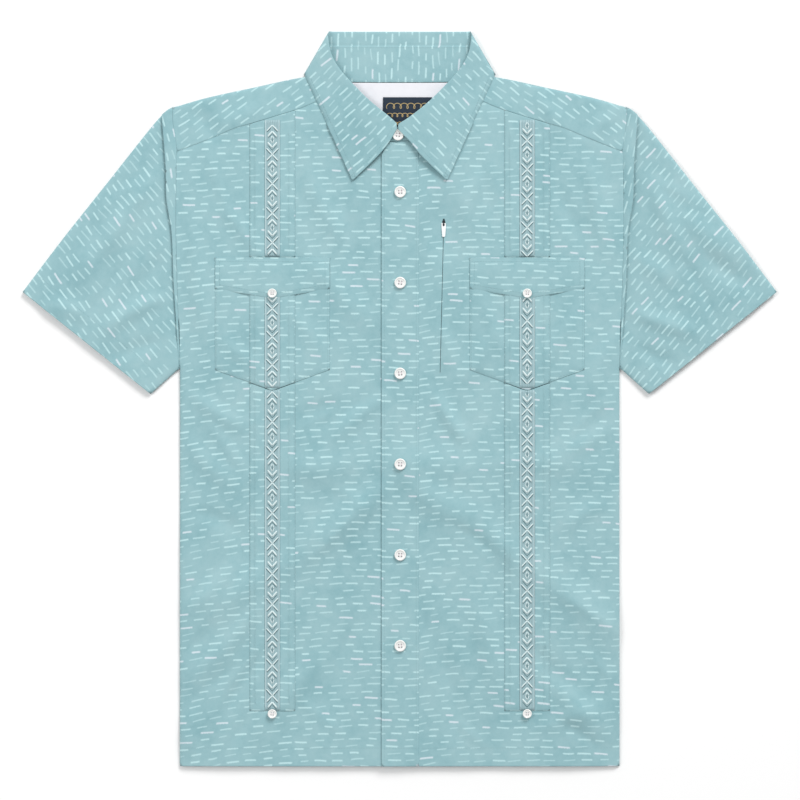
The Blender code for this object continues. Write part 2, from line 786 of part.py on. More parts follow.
def main():
    for leftover in list(bpy.data.objects):
        bpy.data.objects.remove(leftover)
    back()
    yoke()
    fronts()
    placket()
    sleeves()
    stand()
    leaf()
    pockets_and_bands()
    buttons()
    slider()
    pull_tab()


main()
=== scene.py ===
"""A short-sleeved guayabera shirt, fastened and laid out flat on its back: what it looks like.

It is built piece by piece, in the order in which the shirt lies: back, yoke, fronts, sleeves,
collar, pockets, bands, stitching, buttons and zip. +Z is up, the collar points to +Y and the
wearer's left is +X. Lengths in the tables are in millimetres: "out" is measured from the centre
line towards the wearer's left, and "up" from the hem.
"""

import math

import bpy
import numpy as np
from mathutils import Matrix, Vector
from mathutils.bvhtree import BVHTree
from mathutils.geometry import delaunay_2d_cdt


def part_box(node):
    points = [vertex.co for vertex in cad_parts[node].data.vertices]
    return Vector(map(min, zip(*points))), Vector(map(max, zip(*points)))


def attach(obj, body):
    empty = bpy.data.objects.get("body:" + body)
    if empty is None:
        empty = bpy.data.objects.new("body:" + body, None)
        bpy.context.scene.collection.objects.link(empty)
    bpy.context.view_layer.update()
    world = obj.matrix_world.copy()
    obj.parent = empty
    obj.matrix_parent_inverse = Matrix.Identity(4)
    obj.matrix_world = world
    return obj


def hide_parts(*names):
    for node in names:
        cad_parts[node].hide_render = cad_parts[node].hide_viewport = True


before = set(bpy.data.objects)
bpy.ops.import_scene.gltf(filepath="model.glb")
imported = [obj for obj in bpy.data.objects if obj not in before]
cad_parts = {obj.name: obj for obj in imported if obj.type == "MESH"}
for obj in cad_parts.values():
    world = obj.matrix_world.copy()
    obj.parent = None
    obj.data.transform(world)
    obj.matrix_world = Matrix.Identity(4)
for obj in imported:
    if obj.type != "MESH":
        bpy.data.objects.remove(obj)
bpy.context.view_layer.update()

# ------------------------------------------------------------------ back panel
# The back of the body, one piece of printed cotton poplin below the yoke. It lies on the
# surface, and its side edges turn up to the side seams.
MM = 0.001
POPLIN = 0.45 * MM
HEM_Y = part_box("back_panel")[0].y
LAYER_TOPS = {name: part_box(name)[1].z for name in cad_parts}
LOOKS_UP = 0.7  # a face whose normal is steeper than this is part of a layer's surface
EDGE_ROWS = (0.35 * MM, 1.2 * MM, 2.8 * MM)  # rows of points beside a cut edge, so that it rounds
CURVE_STEPS = 8  # points that a curve has for each one of the outline
UNDERSIDE = (-1, -1.0, 0.5 * MM)  # plan_of's facing, low and high for the faces on the table


def plan_of(node, facing=1, low=-1.0, high=1.0):
    """The outlines, in plan, of a CAD node's faces that look up or down between two heights."""
    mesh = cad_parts[node].data
    edges = set()
    for face in mesh.polygons:
        if face.normal.z * facing > LOOKS_UP and low <= face.center.z <= high:
            corners = [mesh.vertices[index].co for index in face.vertices]
            corners = [(round(corner.x, 6), round(corner.y, 6)) for corner in corners]
            if facing < 0:
                corners.reverse()
            edges.update(zip(corners, corners[1:] + corners[:1]))
    following = {start: end for start, end in edges if (end, start) not in edges}
    outlines = []
    while following:
        start, after = following.popitem()
        outline = [start]
        while after != start:
            outline.append(after)
            after = following.pop(after)
        outlines.append(without_straights(outline))
    return sorted(outlines, key=lambda outline: -abs(area_of(outline)))


def from_right(outlines):
    """The outlines of a pair, the one on the wearer's right first."""
    return sorted(outlines, key=lambda outline: outline[0][0])


def without_straights(outline):
    """The outline without the points that lie on a straight line between their neighbours."""
    kept = []
    for index, point in enumerate(outline):
        before = np.subtract(point, outline[index - 1])
        after = np.subtract(outline[(index + 1) % len(outline)], point)
        turn = before[0] * after[1] - before[1] * after[0]
        if abs(turn) > 1e-4 * np.linalg.norm(before) * np.linalg.norm(after):
            kept.append(point)
    return kept


def span(node):
    """How wide and how long a CAD node is in plan."""
    low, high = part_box(node)
    return high.x - low.x, high.y - low.y


def area_of(outline):
    """The area inside an outline, which is negative if it runs clockwise."""
    x, y = np.transpose(outline)
    return float(np.sum(x * np.roll(y, -1) - np.roll(x, -1) * y) / 2)


def spaced(points, spacing):
    """Points at an even spacing along a line, from its first point up to its last."""
    points = np.asarray(points, float)
    lengths = np.linalg.norm(np.diff(points, axis=0), axis=1)
    along = np.concatenate([[0.0], np.cumsum(lengths)])
    count = max(int(round(along[-1] / spacing)), 1)
    wanted = np.linspace(0.0, along[-1], count + 1)
    return np.stack([np.interp(wanted, along, points[:, axis]) for axis in (0, 1)], axis=1)


def curved(points):
    """A smooth line through the points of an open line."""
    points = np.asarray(points, float)
    if len(points) < 3:
        return points
    padded = np.vstack([2 * points[0] - points[1], points, 2 * points[-1] - points[-2]])
    steps = np.linspace(0.0, 1.0, CURVE_STEPS + 1)[:-1, None]
    line = []
    for a, b, c, d in zip(padded, padded[1:], padded[2:], padded[3:]):
        bend = 2 * b + (c - a) * steps + (2 * a - 5 * b + 4 * c - d) * steps**2
        line.append((bend + (3 * b - a - 3 * c + d) * steps**3) / 2)
    return np.vstack(line + [points[-1:]])


def cut_line(outline, spacing, corner=24.0):
    """A cut edge: the outline with its corners kept and everything between them a curve."""
    points = np.asarray(outline, float)
    before = points - np.roll(points, 1, axis=0)
    after = np.roll(points, -1, axis=0) - points
    turn = np.arctan2(
        before[:, 0] * after[:, 1] - before[:, 1] * after[:, 0], (before * after).sum(axis=1)
    )
    corners = np.flatnonzero(np.abs(turn) > math.radians(corner))
    runs = []
    for first, last in zip(corners, np.roll(corners, -1)):
        count = (last - first) % len(points) or len(points)
        run = points[(first + np.arange(count + 1)) % len(points)]
        runs.append(spaced(curved(run), spacing)[:-1])
    return np.vstack(runs)


def inside(points, outlines):
    """Whether each point is in the cloth, which is inside an odd number of the outlines."""
    within = np.zeros(len(points), bool)
    for outline in outlines:
        for (x_0, y_0), (x_1, y_1) in zip(outline, np.roll(outline, -1, axis=0)):
            if y_0 == y_1:
                continue
            between = (y_0 > points[:, 1]) != (y_1 > points[:, 1])
            within ^= between & (
                points[:, 0] < x_0 + (x_1 - x_0) * (points[:, 1] - y_0) / (y_1 - y_0)
            )
    return within


def distance_to(points, line, closed=False):
    """How far each point is from a line."""
    starts = np.asarray(line, float)
    ends = np.roll(starts, -1, axis=0)
    if not closed:
        starts, ends = starts[:-1], ends[:-1]
    nearest = np.full(len(points), np.inf)
    for start, end in zip(starts, ends):
        along = end - start
        share = ((points - start) @ along) / max(along @ along, 1e-18)
        foot = start + np.clip(share, 0.0, 1.0)[:, None] * along
        nearest = np.minimum(nearest, ((points - foot) ** 2).sum(axis=1))
    return np.sqrt(nearest)


def leftward(line, closed=False):
    """The direction to the left of a line, at each of its points."""
    along = np.gradient(line, axis=0)
    if closed:
        along = np.roll(line, -1, axis=0) - np.roll(line, 1, axis=0)
    along /= np.linalg.norm(along, axis=1)[:, None]
    return np.stack([-along[:, 1], along[:, 0]], axis=1)


def placed(name, data):
    """A new object in the scene, of a mesh, a light or a camera."""
    made = bpy.data.objects.new(name, data)
    bpy.context.scene.collection.objects.link(made)
    return made


def lay_cloth(name, outlines, height, grain, step=5 * MM, thick=POPLIN, lines=()):
    """A thin shell of cloth inside the outlines. height gives its upper surface in plan, and
    grain its place in the flat cut, which the print and the weave follow."""
    outlines = [np.asarray(outline, float) for outline in outlines]
    edge = np.vstack(outlines)
    low, high = edge.min(axis=0), edge.max(axis=0)

    def to_edges(points):
        return np.min([distance_to(points, outline, True) for outline in outlines], axis=0)

    rings, reaches = [], []
    for outline in outlines:
        across = leftward(outline, True)
        for reach in EDGE_ROWS:
            rings += [outline - reach * across, outline + reach * across]
            reaches += [np.full(2 * len(outline), reach)]
    ring, reach = np.vstack(rings), np.concatenate(reaches)
    ring = ring[inside(ring, outlines) & (to_edges(ring) > 0.9 * reach)]
    rows = np.arange(low[1] + step / 2, high[1], step)
    columns = np.arange(low[0] + step / 2, high[0], step)
    grid = np.stack(np.meshgrid(columns, rows), axis=-1)
    grid[1::2, :, 0] += step / 2
    grid = grid.reshape(-1, 2)
    grid = grid[inside(grid, outlines) & (to_edges(grid) > 0.6 * step)]
    drawn = [np.asarray(line, float) for line in lines]
    points = np.vstack([edge, *drawn, ring, grid])
    edges, start = [], 0
    for outline in outlines:
        count = len(outline)
        edges += [(start + index, start + (index + 1) % count) for index in range(count)]
        start += count
    for line in drawn:
        edges += [(start + index, start + index + 1) for index in range(len(line) - 1)]
        start += len(line)
    plan, _, cells, _, _, _ = delaunay_2d_cdt(
        [Vector(point) for point in points], edges, [], 0, 1e-6
    )
    plan = np.array([point[:] for point in plan])
    cells = np.array([cell for cell in cells if len(cell) == 3])
    cells = cells[inside(plan[cells].mean(axis=1), outlines)]
    used, cells = np.unique(cells, return_inverse=True)
    plan, cells = plan[used], cells.reshape(-1, 3)
    sides = np.concatenate([cells[:, [0, 1]], cells[:, [1, 2]], cells[:, [2, 0]]])
    seen = {tuple(side) for side in sides}
    rim = np.zeros(len(plan), bool)
    for start, end in sides:
        if (end, start) not in seen:
            rim[[start, end]] = True
    upper = height(plan[:, 0], plan[:, 1])
    upper = np.where(rim, upper - thick / 2, upper)
    inner = np.flatnonzero(~rim)
    below = np.arange(len(plan))
    below[inner] = len(plan) + np.arange(len(inner))
    corners = np.vstack([
        np.column_stack([plan, upper]),
        np.column_stack([plan[inner], upper[inner] - thick]),
    ])
    mesh = bpy.data.meshes.new(name)
    faces = np.vstack([cells, below[cells][:, ::-1]])
    faces = faces[[len(set(face)) == 3 for face in faces.tolist()]]
    mesh.from_pydata(corners.tolist(), [], faces.tolist())
    u, v = grain(corners[:, 0], corners[:, 1])
    cut = mesh.uv_layers.new(name="cut")
    order = np.empty(len(mesh.loops), np.int32)
    mesh.loops.foreach_get("vertex_index", order)
    cut.data.foreach_set("uv", np.column_stack([u, v])[order].ravel())
    mesh.shade_smooth()
    return placed(name, mesh)


def along_grain(degrees, out=0.0, up=0.0, rise=None):
    """The cut's own axes: the print's dashes run at this angle from +X, from a corner that is
    out and up millimetres away. rise(x, y) bends the rows where the cloth has skewed."""
    cosine, sine = math.cos(math.radians(degrees)), math.sin(math.radians(degrees))

    def grain(x, y):
        if rise is not None:
            y = y - rise(x, y)
        return x * cosine + y * sine + out * MM, y * cosine - x * sine + up * MM

    return grain


def lowered(height, line, reach, amount, shape):
    """The height less an amount near a line. shape gives its share, from 0 at the line to 1."""
    def changed(x, y):
        near = np.clip(distance_to(np.column_stack([x, y]), line) / reach, 0.0, 1.0)
        return height(x, y) - amount * shape(near)

    return changed


def turned(height, line, reach, amount):
    """The height with an edge rolled over: it falls by amount within reach of a line."""
    return lowered(height, line, reach, amount,
                   lambda near: 1.0 - np.sqrt(1.0 - (1.0 - near) ** 2))


def settled(height, line, reach, amount):
    """The height with an edge that comes down gently by amount, to the cloth it is sewn to."""
    return lowered(height, line, reach, amount, lambda near: (1.0 - near) ** 2)


class Wire:
    """A socket's output, so that a sum of shader values reads as a sum."""

    def __init__(self, finish, socket):
        self.finish = finish
        self.socket = socket

    def __getitem__(self, output):
        return Wire(self.finish, self.socket.node.outputs[output])

    def maths(self, operation, *values):
        values = dict(enumerate((self, *values)))
        return self.finish.node("ShaderNodeMath", {"operation": operation}, values)

    def __add__(self, other):
        return self.maths("ADD", other)

    def __sub__(self, other):
        return self.maths("SUBTRACT", other)

    def __rsub__(self, other):
        return self.finish.node("ShaderNodeMath", {"operation": "SUBTRACT"}, {0: other, 1: self})

    def __mul__(self, other):
        return self.maths("MULTIPLY", other)

    def __truediv__(self, other):
        return self.maths("DIVIDE", other)

    def __abs__(self):
        return self.maths("ABSOLUTE")

    __radd__ = __add__
    __rmul__ = __mul__


class Finish:
    """A material of one Principled shader, and the nodes that feed it."""

    def __init__(self, name, **constants):
        self.material = bpy.data.materials.new(name)
        self.material.use_nodes = True
        self.tree = self.material.node_tree
        self.shader = self.tree.nodes["Principled BSDF"]
        for socket, value in constants.items():
            self.shader.inputs[socket.replace("_", " ")].default_value = value

    def node(self, kind, settings=None, sockets=None):
        made = self.tree.nodes.new(kind)
        for name, value in (settings or {}).items():
            if name == "stops":
                ramp = made.color_ramp
                for place, _ in value[1:-1]:
                    ramp.elements.new(place)
                for element, (place, colour) in zip(ramp.elements, value):
                    element.position = place
                    element.color = colour
            else:
                setattr(made, name, value)
        for name, value in (sockets or {}).items():
            if isinstance(value, Wire):
                self.tree.links.new(value.socket, made.inputs[name])
            else:
                made.inputs[name].default_value = value
        return Wire(self, next(output for output in made.outputs if output.enabled))

    def mix(self, share, first, second):
        """One colour turning into another. 6 and 7 are the node's colour sockets."""
        mixed = self.node(
            "ShaderNodeMix", {"data_type": "RGBA"}, {"Factor": share, 6: first, 7: second}
        )
        return Wire(self, mixed.socket.node.outputs[2])

    def feed(self, **sockets):
        for name, wire in sockets.items():
            self.tree.links.new(wire.socket, self.shader.inputs[name.replace("_", " ")])

    def bump(self, height, strength, distance):
        self.feed(Normal=self.node("ShaderNodeBump", None, {
            "Strength": strength, "Distance": distance, "Height": height}))

    def speckle(self, dark, light, scale, **noise):
        """Mixes two colours by a noise that is fixed to the piece, and returns the noise."""
        place = self.node("ShaderNodeTexCoord")["Object"]
        made = self.node("ShaderNodeTexNoise", None, {"Vector": place, "Scale": scale, **noise})
        self.feed(Base_Color=self.mix(made, dark, light))
        return made


def linear(*colour):
    """A colour as it is seen, from 0 to 255, as the shader needs it."""
    seen = [value / 255 for value in colour]
    return (*[((v + 0.055) / 1.055) ** 2.4 if v > 0.04045 else v / 12.92 for v in seen], 1.0)


AQUA = linear(156, 191, 196)
AQUA_MIDDLE = linear(144, 183, 189)
AQUA_DEEP = linear(128, 171, 178)
PRINT_MINT = linear(186, 221, 224)
PRINT_ROSE = linear(201, 217, 224)
ROW = 7.36 * MM  # pitch of the print's rows
ROWS_WANDER = 0.55  # how far a row wanders, in rows
DASH_CELL = 19 * MM  # each dash has this much of its row
DASH_HALF, DASH_HALF_MORE = 0.225, 0.2  # its least half length in cells, and what chance adds
DASH_THICK = 0.145  # its half thickness, in rows
SWAY_ROWS, SWAY = 3.9, 0.235  # the dashes step aside from row to row, and back after this many
ROSE_SHARE = 0.08
MISSED_SHARE = 0.07
YARN = 0.42 * MM


def brushed_poplin(name="printed_poplin"):
    """Plain-weave cotton printed with rows of short brush dashes that shift from row to row."""
    poplin = Finish(name, Roughness=0.82, Sheen_Weight=0.25, Sheen_Roughness=0.4)
    cut = poplin.node("ShaderNodeUVMap", {"uv_map": "cut"})
    place = poplin.node("ShaderNodeSeparateXYZ", None, {0: cut})
    u, v = place["X"], place["Y"]
    drift = poplin.node("ShaderNodeTexNoise", None, {"Vector": cut, "Scale": 30.0, "Detail": 1.0})
    rows = v / ROW + drift * ROWS_WANDER
    row = rows.maths("FLOOR")
    across = rows - row - 0.5
    chance = poplin.node("ShaderNodeTexWhiteNoise", {"noise_dimensions": "1D"}, {"W": row})
    sway = (row + chance * 0.7).maths("PINGPONG", SWAY_ROWS) * SWAY
    cells = u / DASH_CELL + sway + chance * 0.14
    cell = cells.maths("FLOOR")
    key = poplin.node("ShaderNodeCombineXYZ", None, {0: cell, 1: row, 2: 0.5})
    lot = poplin.node("ShaderNodeTexWhiteNoise", {"noise_dimensions": "3D"}, {"Vector": key})
    parts = poplin.node("ShaderNodeSeparateColor", None, {0: lot["Color"]})
    long, shift, tint = parts["Red"], parts["Green"], parts["Blue"]
    along = cells - cell - 0.5 + (shift - 0.5) * 0.2
    ragged = poplin.node("ShaderNodeTexNoise", None, {"Vector": cut, "Scale": 700.0, "Detail": 2.0})
    across = across + along * (tint - 0.5) * 0.4 + (shift - 0.5) * 0.16 + (ragged - 0.5) * 0.1
    half = DASH_HALF + long * DASH_HALF_MORE
    ends = (half - abs(along) + (ragged - 0.5) * 0.1) * (DASH_CELL / (1.5 * MM))
    thick = DASH_THICK + tint * 0.035 + (ragged - 0.5) * 0.05
    brush = (thick - abs(across)) * (ROW / (0.75 * MM))
    drawn = poplin.node("ShaderNodeClamp", None, {0: ends})
    drawn = drawn * poplin.node("ShaderNodeClamp", None, {0: brush})
    strength = lot["Value"].maths("GREATER_THAN", MISSED_SHARE) * (0.4 + tint * 0.6)
    inked = drawn * strength * (0.7 + ragged * 0.6)
    cloud = poplin.node("ShaderNodeTexNoise", None,
                        {"Vector": cut, "Scale": 14.0, "Detail": 4.0, "Roughness": 0.6})
    mottle = poplin.node("ShaderNodeTexNoise", None,
                         {"Vector": cut, "Scale": 75.0, "Detail": 5.0, "Roughness": 0.7})
    ground = poplin.node("ShaderNodeValToRGB", {"stops": [
        (0.32, AQUA_DEEP), (0.5, AQUA_MIDDLE), (0.68, AQUA)]}, {0: cloud * 0.62 + mottle * 0.38})
    ink = poplin.mix(tint.maths("GREATER_THAN", 1.0 - ROSE_SHARE), PRINT_MINT, PRINT_ROSE)
    poplin.feed(Base_Color=poplin.mix(inked, ground, ink))
    # The weave, and the soft unevenness of washed cotton
    thread = 2 * math.pi / YARN
    weave = (u * thread).maths("SINE") * (v * thread).maths("SINE")
    slub = poplin.node("ShaderNodeTexNoise", None, {"Vector": cut, "Scale": 160.0, "Detail": 4.0})
    poplin.bump(weave * 0.08 + slub, 0.5, 0.35 * MM)
    return poplin.material


PRINTED = brushed_poplin()

# The shirt's relief: soft creases of a shirt that was folded, pressed and laid out. A row for
# each, from one end to the other; a negative height is a trough.
CREASE_COLUMNS = ("out", "up", "to_out", "to_up", "wide", "high")
CREASES = [dict(zip(CREASE_COLUMNS, row)) for row in (
    (-128, 330, -40, 326, 16, 1.2),
    (-30, 324, 96, 330, 18, 1.3),
    (100, 331, 212, 322, 13, 0.9),
    (-6, 318, -112, 226, 15, 1.6),
    (-104, 232, -222, 150, 17, 1.5),
    (4, 320, 92, 254, 16, 1.5),
    (84, 262, 180, 190, 14, 1.4),
    (170, 196, 238, 132, 17, 1.5),
    (-16, 404, -78, 342, 8, 0.9),
    (34, 406, 80, 352, 8, 0.9),
    (-60, 398, -112, 372, 7, -0.6),
    (-150, 184, -232, 84, 10, 1.2),
    (-122, 140, -204, 48, 9, -0.8),
    (-176, 226, -236, 168, 8, 0.9),
    (-92, 122, -150, 22, 12, 1.0),
    (-40, 160, -84, 60, 10, -0.7),
    (-216, 64, -236, 14, 8, 0.8),
    (76, 184, 110, 70, 11, 1.0),
    (44, 130, 62, 26, 10, -0.7),
    (174, 96, 222, 26, 13, 1.3),
    (122, 150, 196, 84, 8, -0.8),
    (150, 44, 232, 60, 9, 0.8),
    (-230, 402, -160, 370, 8, 0.9),
    (-236, 356, -176, 306, 9, 0.8),
    (-226, 276, -170, 252, 8, -0.7),
    (-200, 606, -150, 560, 8, 0.7),
    (-230, 600, -206, 470, 10, 0.9),
    (-104, 648, -52, 566, 10, 0.8),
    (-60, 620, -30, 500, 9, -0.5),
    (-96, 560, -34, 470, 12, 0.8),
    (44, 480, 48, 428, 7, 0.7),
    (98, 654, 60, 574, 10, 0.8),
    (30, 640, 24, 540, 8, 0.6),
    (106, 470, 62, 420, 9, 0.7),
    (196, 664, 228, 560, 10, 0.9),
    (174, 640, 196, 566, 8, -0.6),
    (236, 470, 208, 392, 10, 0.9),
    (232, 366, 170, 346, 9, 0.8),
    (224, 280, 174, 262, 8, 0.7),
    (-190, 470, -150, 420, 8, 0.6),
    (-120, 500, -86, 440, 8, 0.5),
    (92, 520, 120, 430, 8, 0.5),
    (190, 500, 160, 430, 9, 0.6),
    (-268, 648, -318, 560, 10, 1.1),
    (-254, 508, -330, 470, 8, 1.2),
    (-262, 470, -316, 436, 7, -0.7),
    (-300, 600, -352, 520, 12, 1.0),
    (-336, 486, -390, 500, 9, 0.8),
    (-262, 560, -290, 500, 9, -0.7),
    (266, 640, 322, 548, 10, 1.1),
    (256, 500, 326, 462, 8, 1.2),
    (262, 462, 300, 430, 7, -0.7),
    (306, 610, 366, 548, 12, 1.1),
    (330, 560, 392, 520, 9, -0.9),
    (262, 560, 300, 520, 9, 0.8),
    (-150, 728, -200, 690, 9, 0.7),
    (-232, 712, -190, 676, 8, -0.5),
    (140, 730, 190, 694, 9, 0.7),
    (236, 710, 200, 672, 8, 0.6),
    (-229, 28, -163, 137, 4.5, 0.4),
    (-218, 72, -169, 126, 5, -0.35),
    (-207, 28, -150, 137, 4, 0.4),
    (-190, 23, -141, 83, 5.5, -0.4),
    (175, 192, 238, 137, 4.5, 0.45),
    (158, 50, 229, 17, 5, -0.45),
    (-109, 224, -32, 290, 4, 0.4),
    (22, 213, 33, 137, 5.5, -0.35),
    (-109, 83, -60, 28, 4.5, 0.35),
    (77, 224, 109, 137, 5, 0.4),
    (44, 268, 109, 224, 4, -0.4),
    (-218, 377, -158, 322, 5.5, 0.45),
    (-109, 366, -32, 399, 4.5, -0.35),
    (33, 399, 77, 355, 5, 0.45),
    (175, 355, 235, 399, 4, 0.4),
    (-76, 311, -32, 268, 5.5, 0.35),
    (-218, 671, -174, 595, 4.5, 0.35),
    (77, 671, 109, 595, 5, -0.35),
    (218, 671, 207, 584, 4, 0.4),
    (-54, 617, -76, 530, 5.5, 0.35),
    (196, 120, 236, 96, 4.5, 0.4),
    (-236, 118, -196, 176, 5, -0.4),
    (60, 60, 96, 20, 4, 0.35),
    (-176, 300, -120, 340, 5.5, 0.3),
    (-300, 560, -344, 470, 4.5, -0.4),
    (-280, 640, -330, 590, 5, 0.4),
    (296, 560, 350, 480, 4, -0.4),
    (276, 640, 330, 600, 5.5, 0.4),
)]
CREASE_DEPTH = 2.7  # times the heights above
CREASE_BOW = 5.0  # how far a crease strays from its straight line
BAND_CENTRE = 138.6 * MM
STRIPE_STIFF, STRIPE_REACH = 0.6, 13.0  # the embroidered stripes are stiff, and crease less
HALF_CHEST = 239.5 * MM
UNDERARM_UP = 433.6
SLIDER_OUT, SLIDER_UP = 47.8, 586.0  # the cloth lies flat round the zip's slider
COLLAR_UP, CUFF_OUT = 765.0, 430  # and towards the collar and the outer end of the cuffs
BODY_SWELL, SLEEVE_SWELL, SWELL = 1.6, 1.8, 0.5  # how high the air inside lifts the cloth


def smooth(share):
    """An even turn from 0 to 1, held at either end."""
    share = np.clip(share, 0.0, 1.0)
    return share * share * (3 - 2 * share)


def lie(x, y):
    """How much higher than flat the shirt's upper layers lie, in metres."""
    out, up = x / MM, (y - HEM_Y) / MM
    high = np.zeros_like(out)
    for crease in CREASES:
        start = np.array([crease["out"], crease["up"]], float)
        along = (crease["to_out"], crease["to_up"]) - start
        share = ((out - start[0]) * along[0] + (up - start[1]) * along[1]) / (along @ along)
        bow = CREASE_BOW * np.sin(3.1 * share + start[0])
        side = ((out - start[0]) * along[1] - (up - start[1]) * along[0])
        side = side / np.linalg.norm(along) + bow
        wide = crease["wide"] * (0.8 + 0.5 * np.clip(share, 0, 1))
        ends = smooth(1.9 * (share + 0.15)) * smooth(1.9 * (1.15 - share))
        high += CREASE_DEPTH * crease["high"] * ends * np.exp(-((side / wide) ** 2))
    stripe = np.exp(-(((np.abs(out) - BAND_CENTRE / MM) / STRIPE_REACH) ** 2))
    high *= 1.0 - STRIPE_STIFF * stripe * (np.abs(out) < HALF_CHEST / MM)
    # Between the creases the cloth is never quite flat: three waves, from broad to fine
    high += 0.35 * np.sin(out / 47.0 + 1.2) * np.sin(up / 83.0 + 0.4)
    high += 0.2 * np.sin(out / 21.0 - up / 33.0)
    high += 0.22 * np.sin(out / 9.0 + up / 26.0) * np.sin(up / 41.0 + out / 63.0)
    body = smooth((HALF_CHEST / MM - np.abs(out)) / 60.0)
    sleeve = smooth((np.abs(out) - HALF_CHEST / MM) / 50.0)
    sleeve *= smooth((CUFF_OUT - np.abs(out)) / 60.0)
    swell = BODY_SWELL * body + SLEEVE_SWELL * sleeve + SWELL
    collar = smooth((COLLAR_UP - up) / 60.0)
    slider = smooth((np.hypot(out - SLIDER_OUT, (up - SLIDER_UP) * 0.6) - 4.0) / 26.0)
    return np.maximum(high + swell, -0.1) * collar * slider * MM


def level(high):
    """A layer whose upper surface lies at a height, and follows the shirt's relief."""
    return lambda x, y: high + lie(x, y)


def flat(high):
    """A layer whose upper surface lies level at a height."""
    return lambda x, y: np.full_like(x, high)


def part_of(outline, keep):
    """The longest unbroken run of an outline's points that keep() accepts."""
    return run_of(outline, np.array([bool(keep(*point)) for point in outline]))


def beside(outline, other, reach=0.6 * MM):
    """The longest run of an outline that lies along another outline, at a seam."""
    return run_of(outline, distance_to(outline, other, True) < reach)


def grown(outline, seam, amount=1.3 * MM):
    """The outline with its cloth reaching on under a seam, as the seam allowance does."""
    share = 1.0 - smooth(distance_to(outline, seam) / (2 * MM))
    return outline - leftward(outline, True) * share[:, None] * amount


def run_of(outline, accepted):
    """The longest unbroken run of the accepted points, round the outline's start too."""
    if accepted.all():
        return np.vstack([outline, outline[:1]])
    first = np.flatnonzero(~accepted)[0]
    outline, accepted = np.roll(outline, -first, axis=0), np.roll(accepted, -first)
    runs = np.split(np.arange(len(outline)), np.flatnonzero(np.diff(accepted)) + 1)
    runs = [run for run in runs if accepted[run[0]]]
    return outline[max(runs, key=len)]


def dress(piece, nodes, finish, body="shirt"):
    """Gives a piece its material and says what it is to the frame."""
    piece.data.materials.clear()
    piece.data.materials.append(finish)
    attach(piece, body)
    if nodes:
        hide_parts(*nodes)


def joined(name, pieces):
    """One piece made of several, each keeping its own faces."""
    with bpy.context.temp_override(active_object=pieces[0], selected_editable_objects=pieces):
        bpy.ops.object.join()
    pieces[0].name = pieces[0].data.name = name
    return pieces[0]


BACK_TOP = 0.5 * MM  # height of the cloth that lies on the table
SIDE_MEET = 1.8 * MM  # height at which the back and the fronts meet along the sides
ON_SIDE = 0.3 * MM


def side_seam(outline, side):
    """The run of an outline down one side of the body."""
    return part_of(outline, lambda x, y: side * x > HALF_CHEST - ON_SIDE
                   and y < HEM_Y + UNDERARM_UP * MM)


back_edge = cut_line(plan_of("back_panel", -1)[0], 6 * MM)
back_height = flat(BACK_TOP)
for side in (-1, 1):
    back_height = turned(back_height, side_seam(back_edge, side), 5 * MM,
                         BACK_TOP - SIDE_MEET + 0.25 * MM)
back = lay_cloth("back_panel_cloth", [back_edge], back_height, along_grain(0, 31, 17), 8 * MM)
dress(back, ["back_panel"], PRINTED)

# ------------------------------------------------------------------ fronts
# Two fronts, sewn to the yoke, the back and the sleeves. The left one has the slit of a hidden
# zip pocket, whose cloth lips close over the zip. Both roll down to the side seams.
SLIT_OPEN = 0.17 * MM
SLIT_MOUTH = 1.5 * MM  # half width of the slit where the slider stands in it
SLIT_POINTS = 60


def front_height(outline, side, yoke_edge):
    """It rolls down to the side seam, and settles under the yoke along its seam."""
    height = turned(level(LAYER_TOPS["front_right"]), side_seam(outline, side), 6 * MM,
                    LAYER_TOPS["front_right"] - SIDE_MEET + 0.3 * MM)
    return settled(height, beside(outline, yoke_edge), 4 * MM, 0.45 * MM)


def skewed(x, y):
    """The right front's rows drop towards the side seam, less so up by the shoulder."""
    return -0.36 * x * x * (1 - 0.6 * smooth((y - 80 * MM) / (150 * MM)))


def lifted(x, y):
    """The left front's rows rise towards the placket, where its edge was pulled up."""
    return -5.5 * MM * np.exp(-(x - 20 * MM) / (30 * MM))


over = [cut_line(outline, 4 * MM) for outline in from_right(plan_of("back_yoke", 1, 3 * MM))]
right_edge = cut_line(plan_of("front_right", 1)[0], 4 * MM)
front_right = lay_cloth(
    "front_right_cloth", [grown(right_edge, beside(right_edge, over[0]))],
    front_height(right_edge, -1, over[0]), along_grain(0, 7, 3, skewed), 4.5 * MM,
)
left_plan = plan_of("front_left", 1)
left_edge = cut_line(left_plan[0], 4 * MM)
slit = np.array(left_plan[1])
top_y, foot_y = slit[:, 1].max(), slit[:, 1].min()
top_x, foot_x = (slit[np.abs(slit[:, 1] - y) < 1e-5, 0].mean() for y in (top_y, foot_y))


def zip_x(y):
    """The zip leans a little: how far out it is at a height."""
    return foot_x + (top_x - foot_x) * (y - foot_y) / (top_y - foot_y)


slit_edge = []
for y in np.linspace(foot_y, top_y, SLIT_POINTS):
    near_top = smooth((y - top_y + 13 * MM) / (5 * MM)) * smooth((top_y + 1 * MM - y) / (3 * MM))
    half = SLIT_OPEN + (SLIT_MOUTH - SLIT_OPEN) * float(near_top)
    slit_edge.append((half, y))
slit_outline = [(zip_x(y) + half, y) for half, y in slit_edge]
slit_outline += [(zip_x(y) - half, y) for half, y in slit_edge[::-1]]
front_left = lay_cloth(
    "front_left_cloth", [grown(left_edge, beside(left_edge, over[1])), np.array(slit_outline)],
    front_height(left_edge, 1, over[1]), along_grain(0, 23, 5, lifted), 4.5 * MM,
)
for piece, node, edge in ((front_right, "front_right", right_edge),
                          (front_left, "front_left", left_edge)):
    dress(piece, [node], PRINTED)

